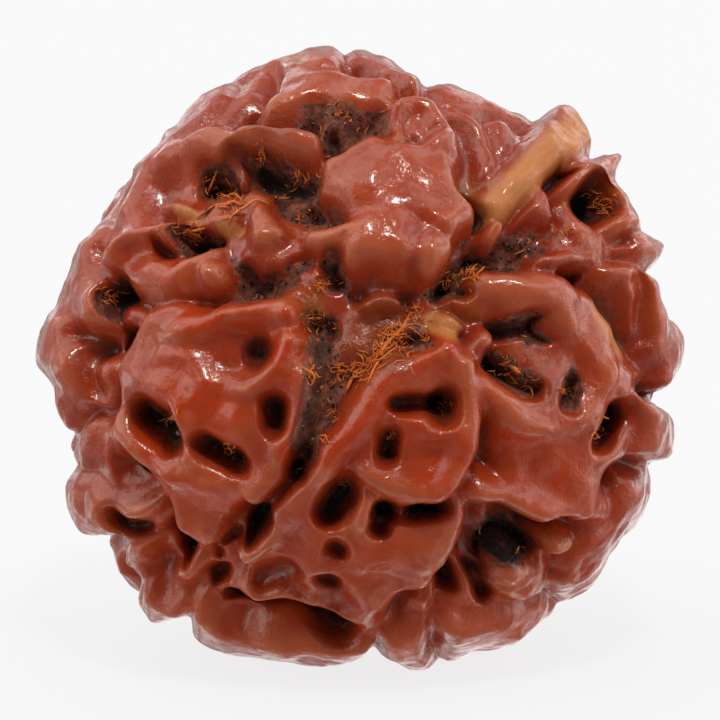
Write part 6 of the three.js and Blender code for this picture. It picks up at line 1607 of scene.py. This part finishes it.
class OBJECT_OT_rudraksha_stage(bpy.types.Operator):
    """Adds the pale table, the soft light and the camera"""

    bl_idname = "object.rudraksha_stage"
    bl_label = "Table, light and camera"

    def execute(self, context):
        scene = context.scene
        settings = scene.rudraksha_stage
        floor_piece(settings)
        shell = bpy.data.objects["seed_shell"]
        target = Vector(shell["drawn_origin"])
        scene.world = studio_world(settings)
        soft_lamp(settings)
        camera = new_object("camera", bpy.data.cameras.new("camera"))
        camera.location = target + OUTWARD * settings.distance
        camera.rotation_euler = (-OUTWARD).to_track_quat("-Z", "Y").to_euler()
        width = settings.view_width * shell["drawn_scale"] * MILLIMETRES
        camera.data.lens = camera.data.sensor_width * settings.distance / width
        scene.camera = camera
        scene.view_settings.view_transform = "Standard"
        return {"FINISHED"}


class VIEW3D_PT_rudraksha(bpy.types.Panel):
    """Lists the seed's pieces and settings"""

    bl_label = "Rudraksha seed"
    bl_idname = "VIEW3D_PT_rudraksha"
    bl_space_type = "VIEW_3D"
    bl_region_type = "UI"
    bl_category = "Rudraksha"

    def draw(self, context):
        scene = context.scene
        for settings in (scene.rudraksha_tones, scene.rudraksha_filling, scene.rudraksha_stage):
            box = self.layout.box()
            for name in settings.__annotations__:
                box.prop(settings, name)
        for operator in OPERATORS:
            self.layout.operator(operator.bl_idname)


GROUPS = (ShellTones, FillingSettings, StageSettings)
OPERATORS = (
    OBJECT_OT_rudraksha_shell,
    OBJECT_OT_rudraksha_fibres,
    OBJECT_OT_rudraksha_crumbs,
    OBJECT_OT_rudraksha_stage,
)
CLASSES = GROUPS + OPERATORS + (VIEW3D_PT_rudraksha,)


def register():
    for item in CLASSES:
        bpy.utils.register_class(item)
    bpy.types.Scene.rudraksha_tones = bpy.props.PointerProperty(type=ShellTones)
    bpy.types.Scene.rudraksha_filling = bpy.props.PointerProperty(type=FillingSettings)
    bpy.types.Scene.rudraksha_stage = bpy.props.PointerProperty(type=StageSettings)


def unregister():
    del bpy.types.Scene.rudraksha_stage
    del bpy.types.Scene.rudraksha_filling
    del bpy.types.Scene.rudraksha_tones
    for item in reversed(CLASSES):
        bpy.utils.unregister_class(item)


def main():
    register()
    bpy.ops.object.rudraksha_shell()
    bpy.ops.object.rudraksha_fibres()
    bpy.ops.object.rudraksha_crumbs()
    bpy.ops.object.rudraksha_stage()


if __name__ == "__main__":
    main()
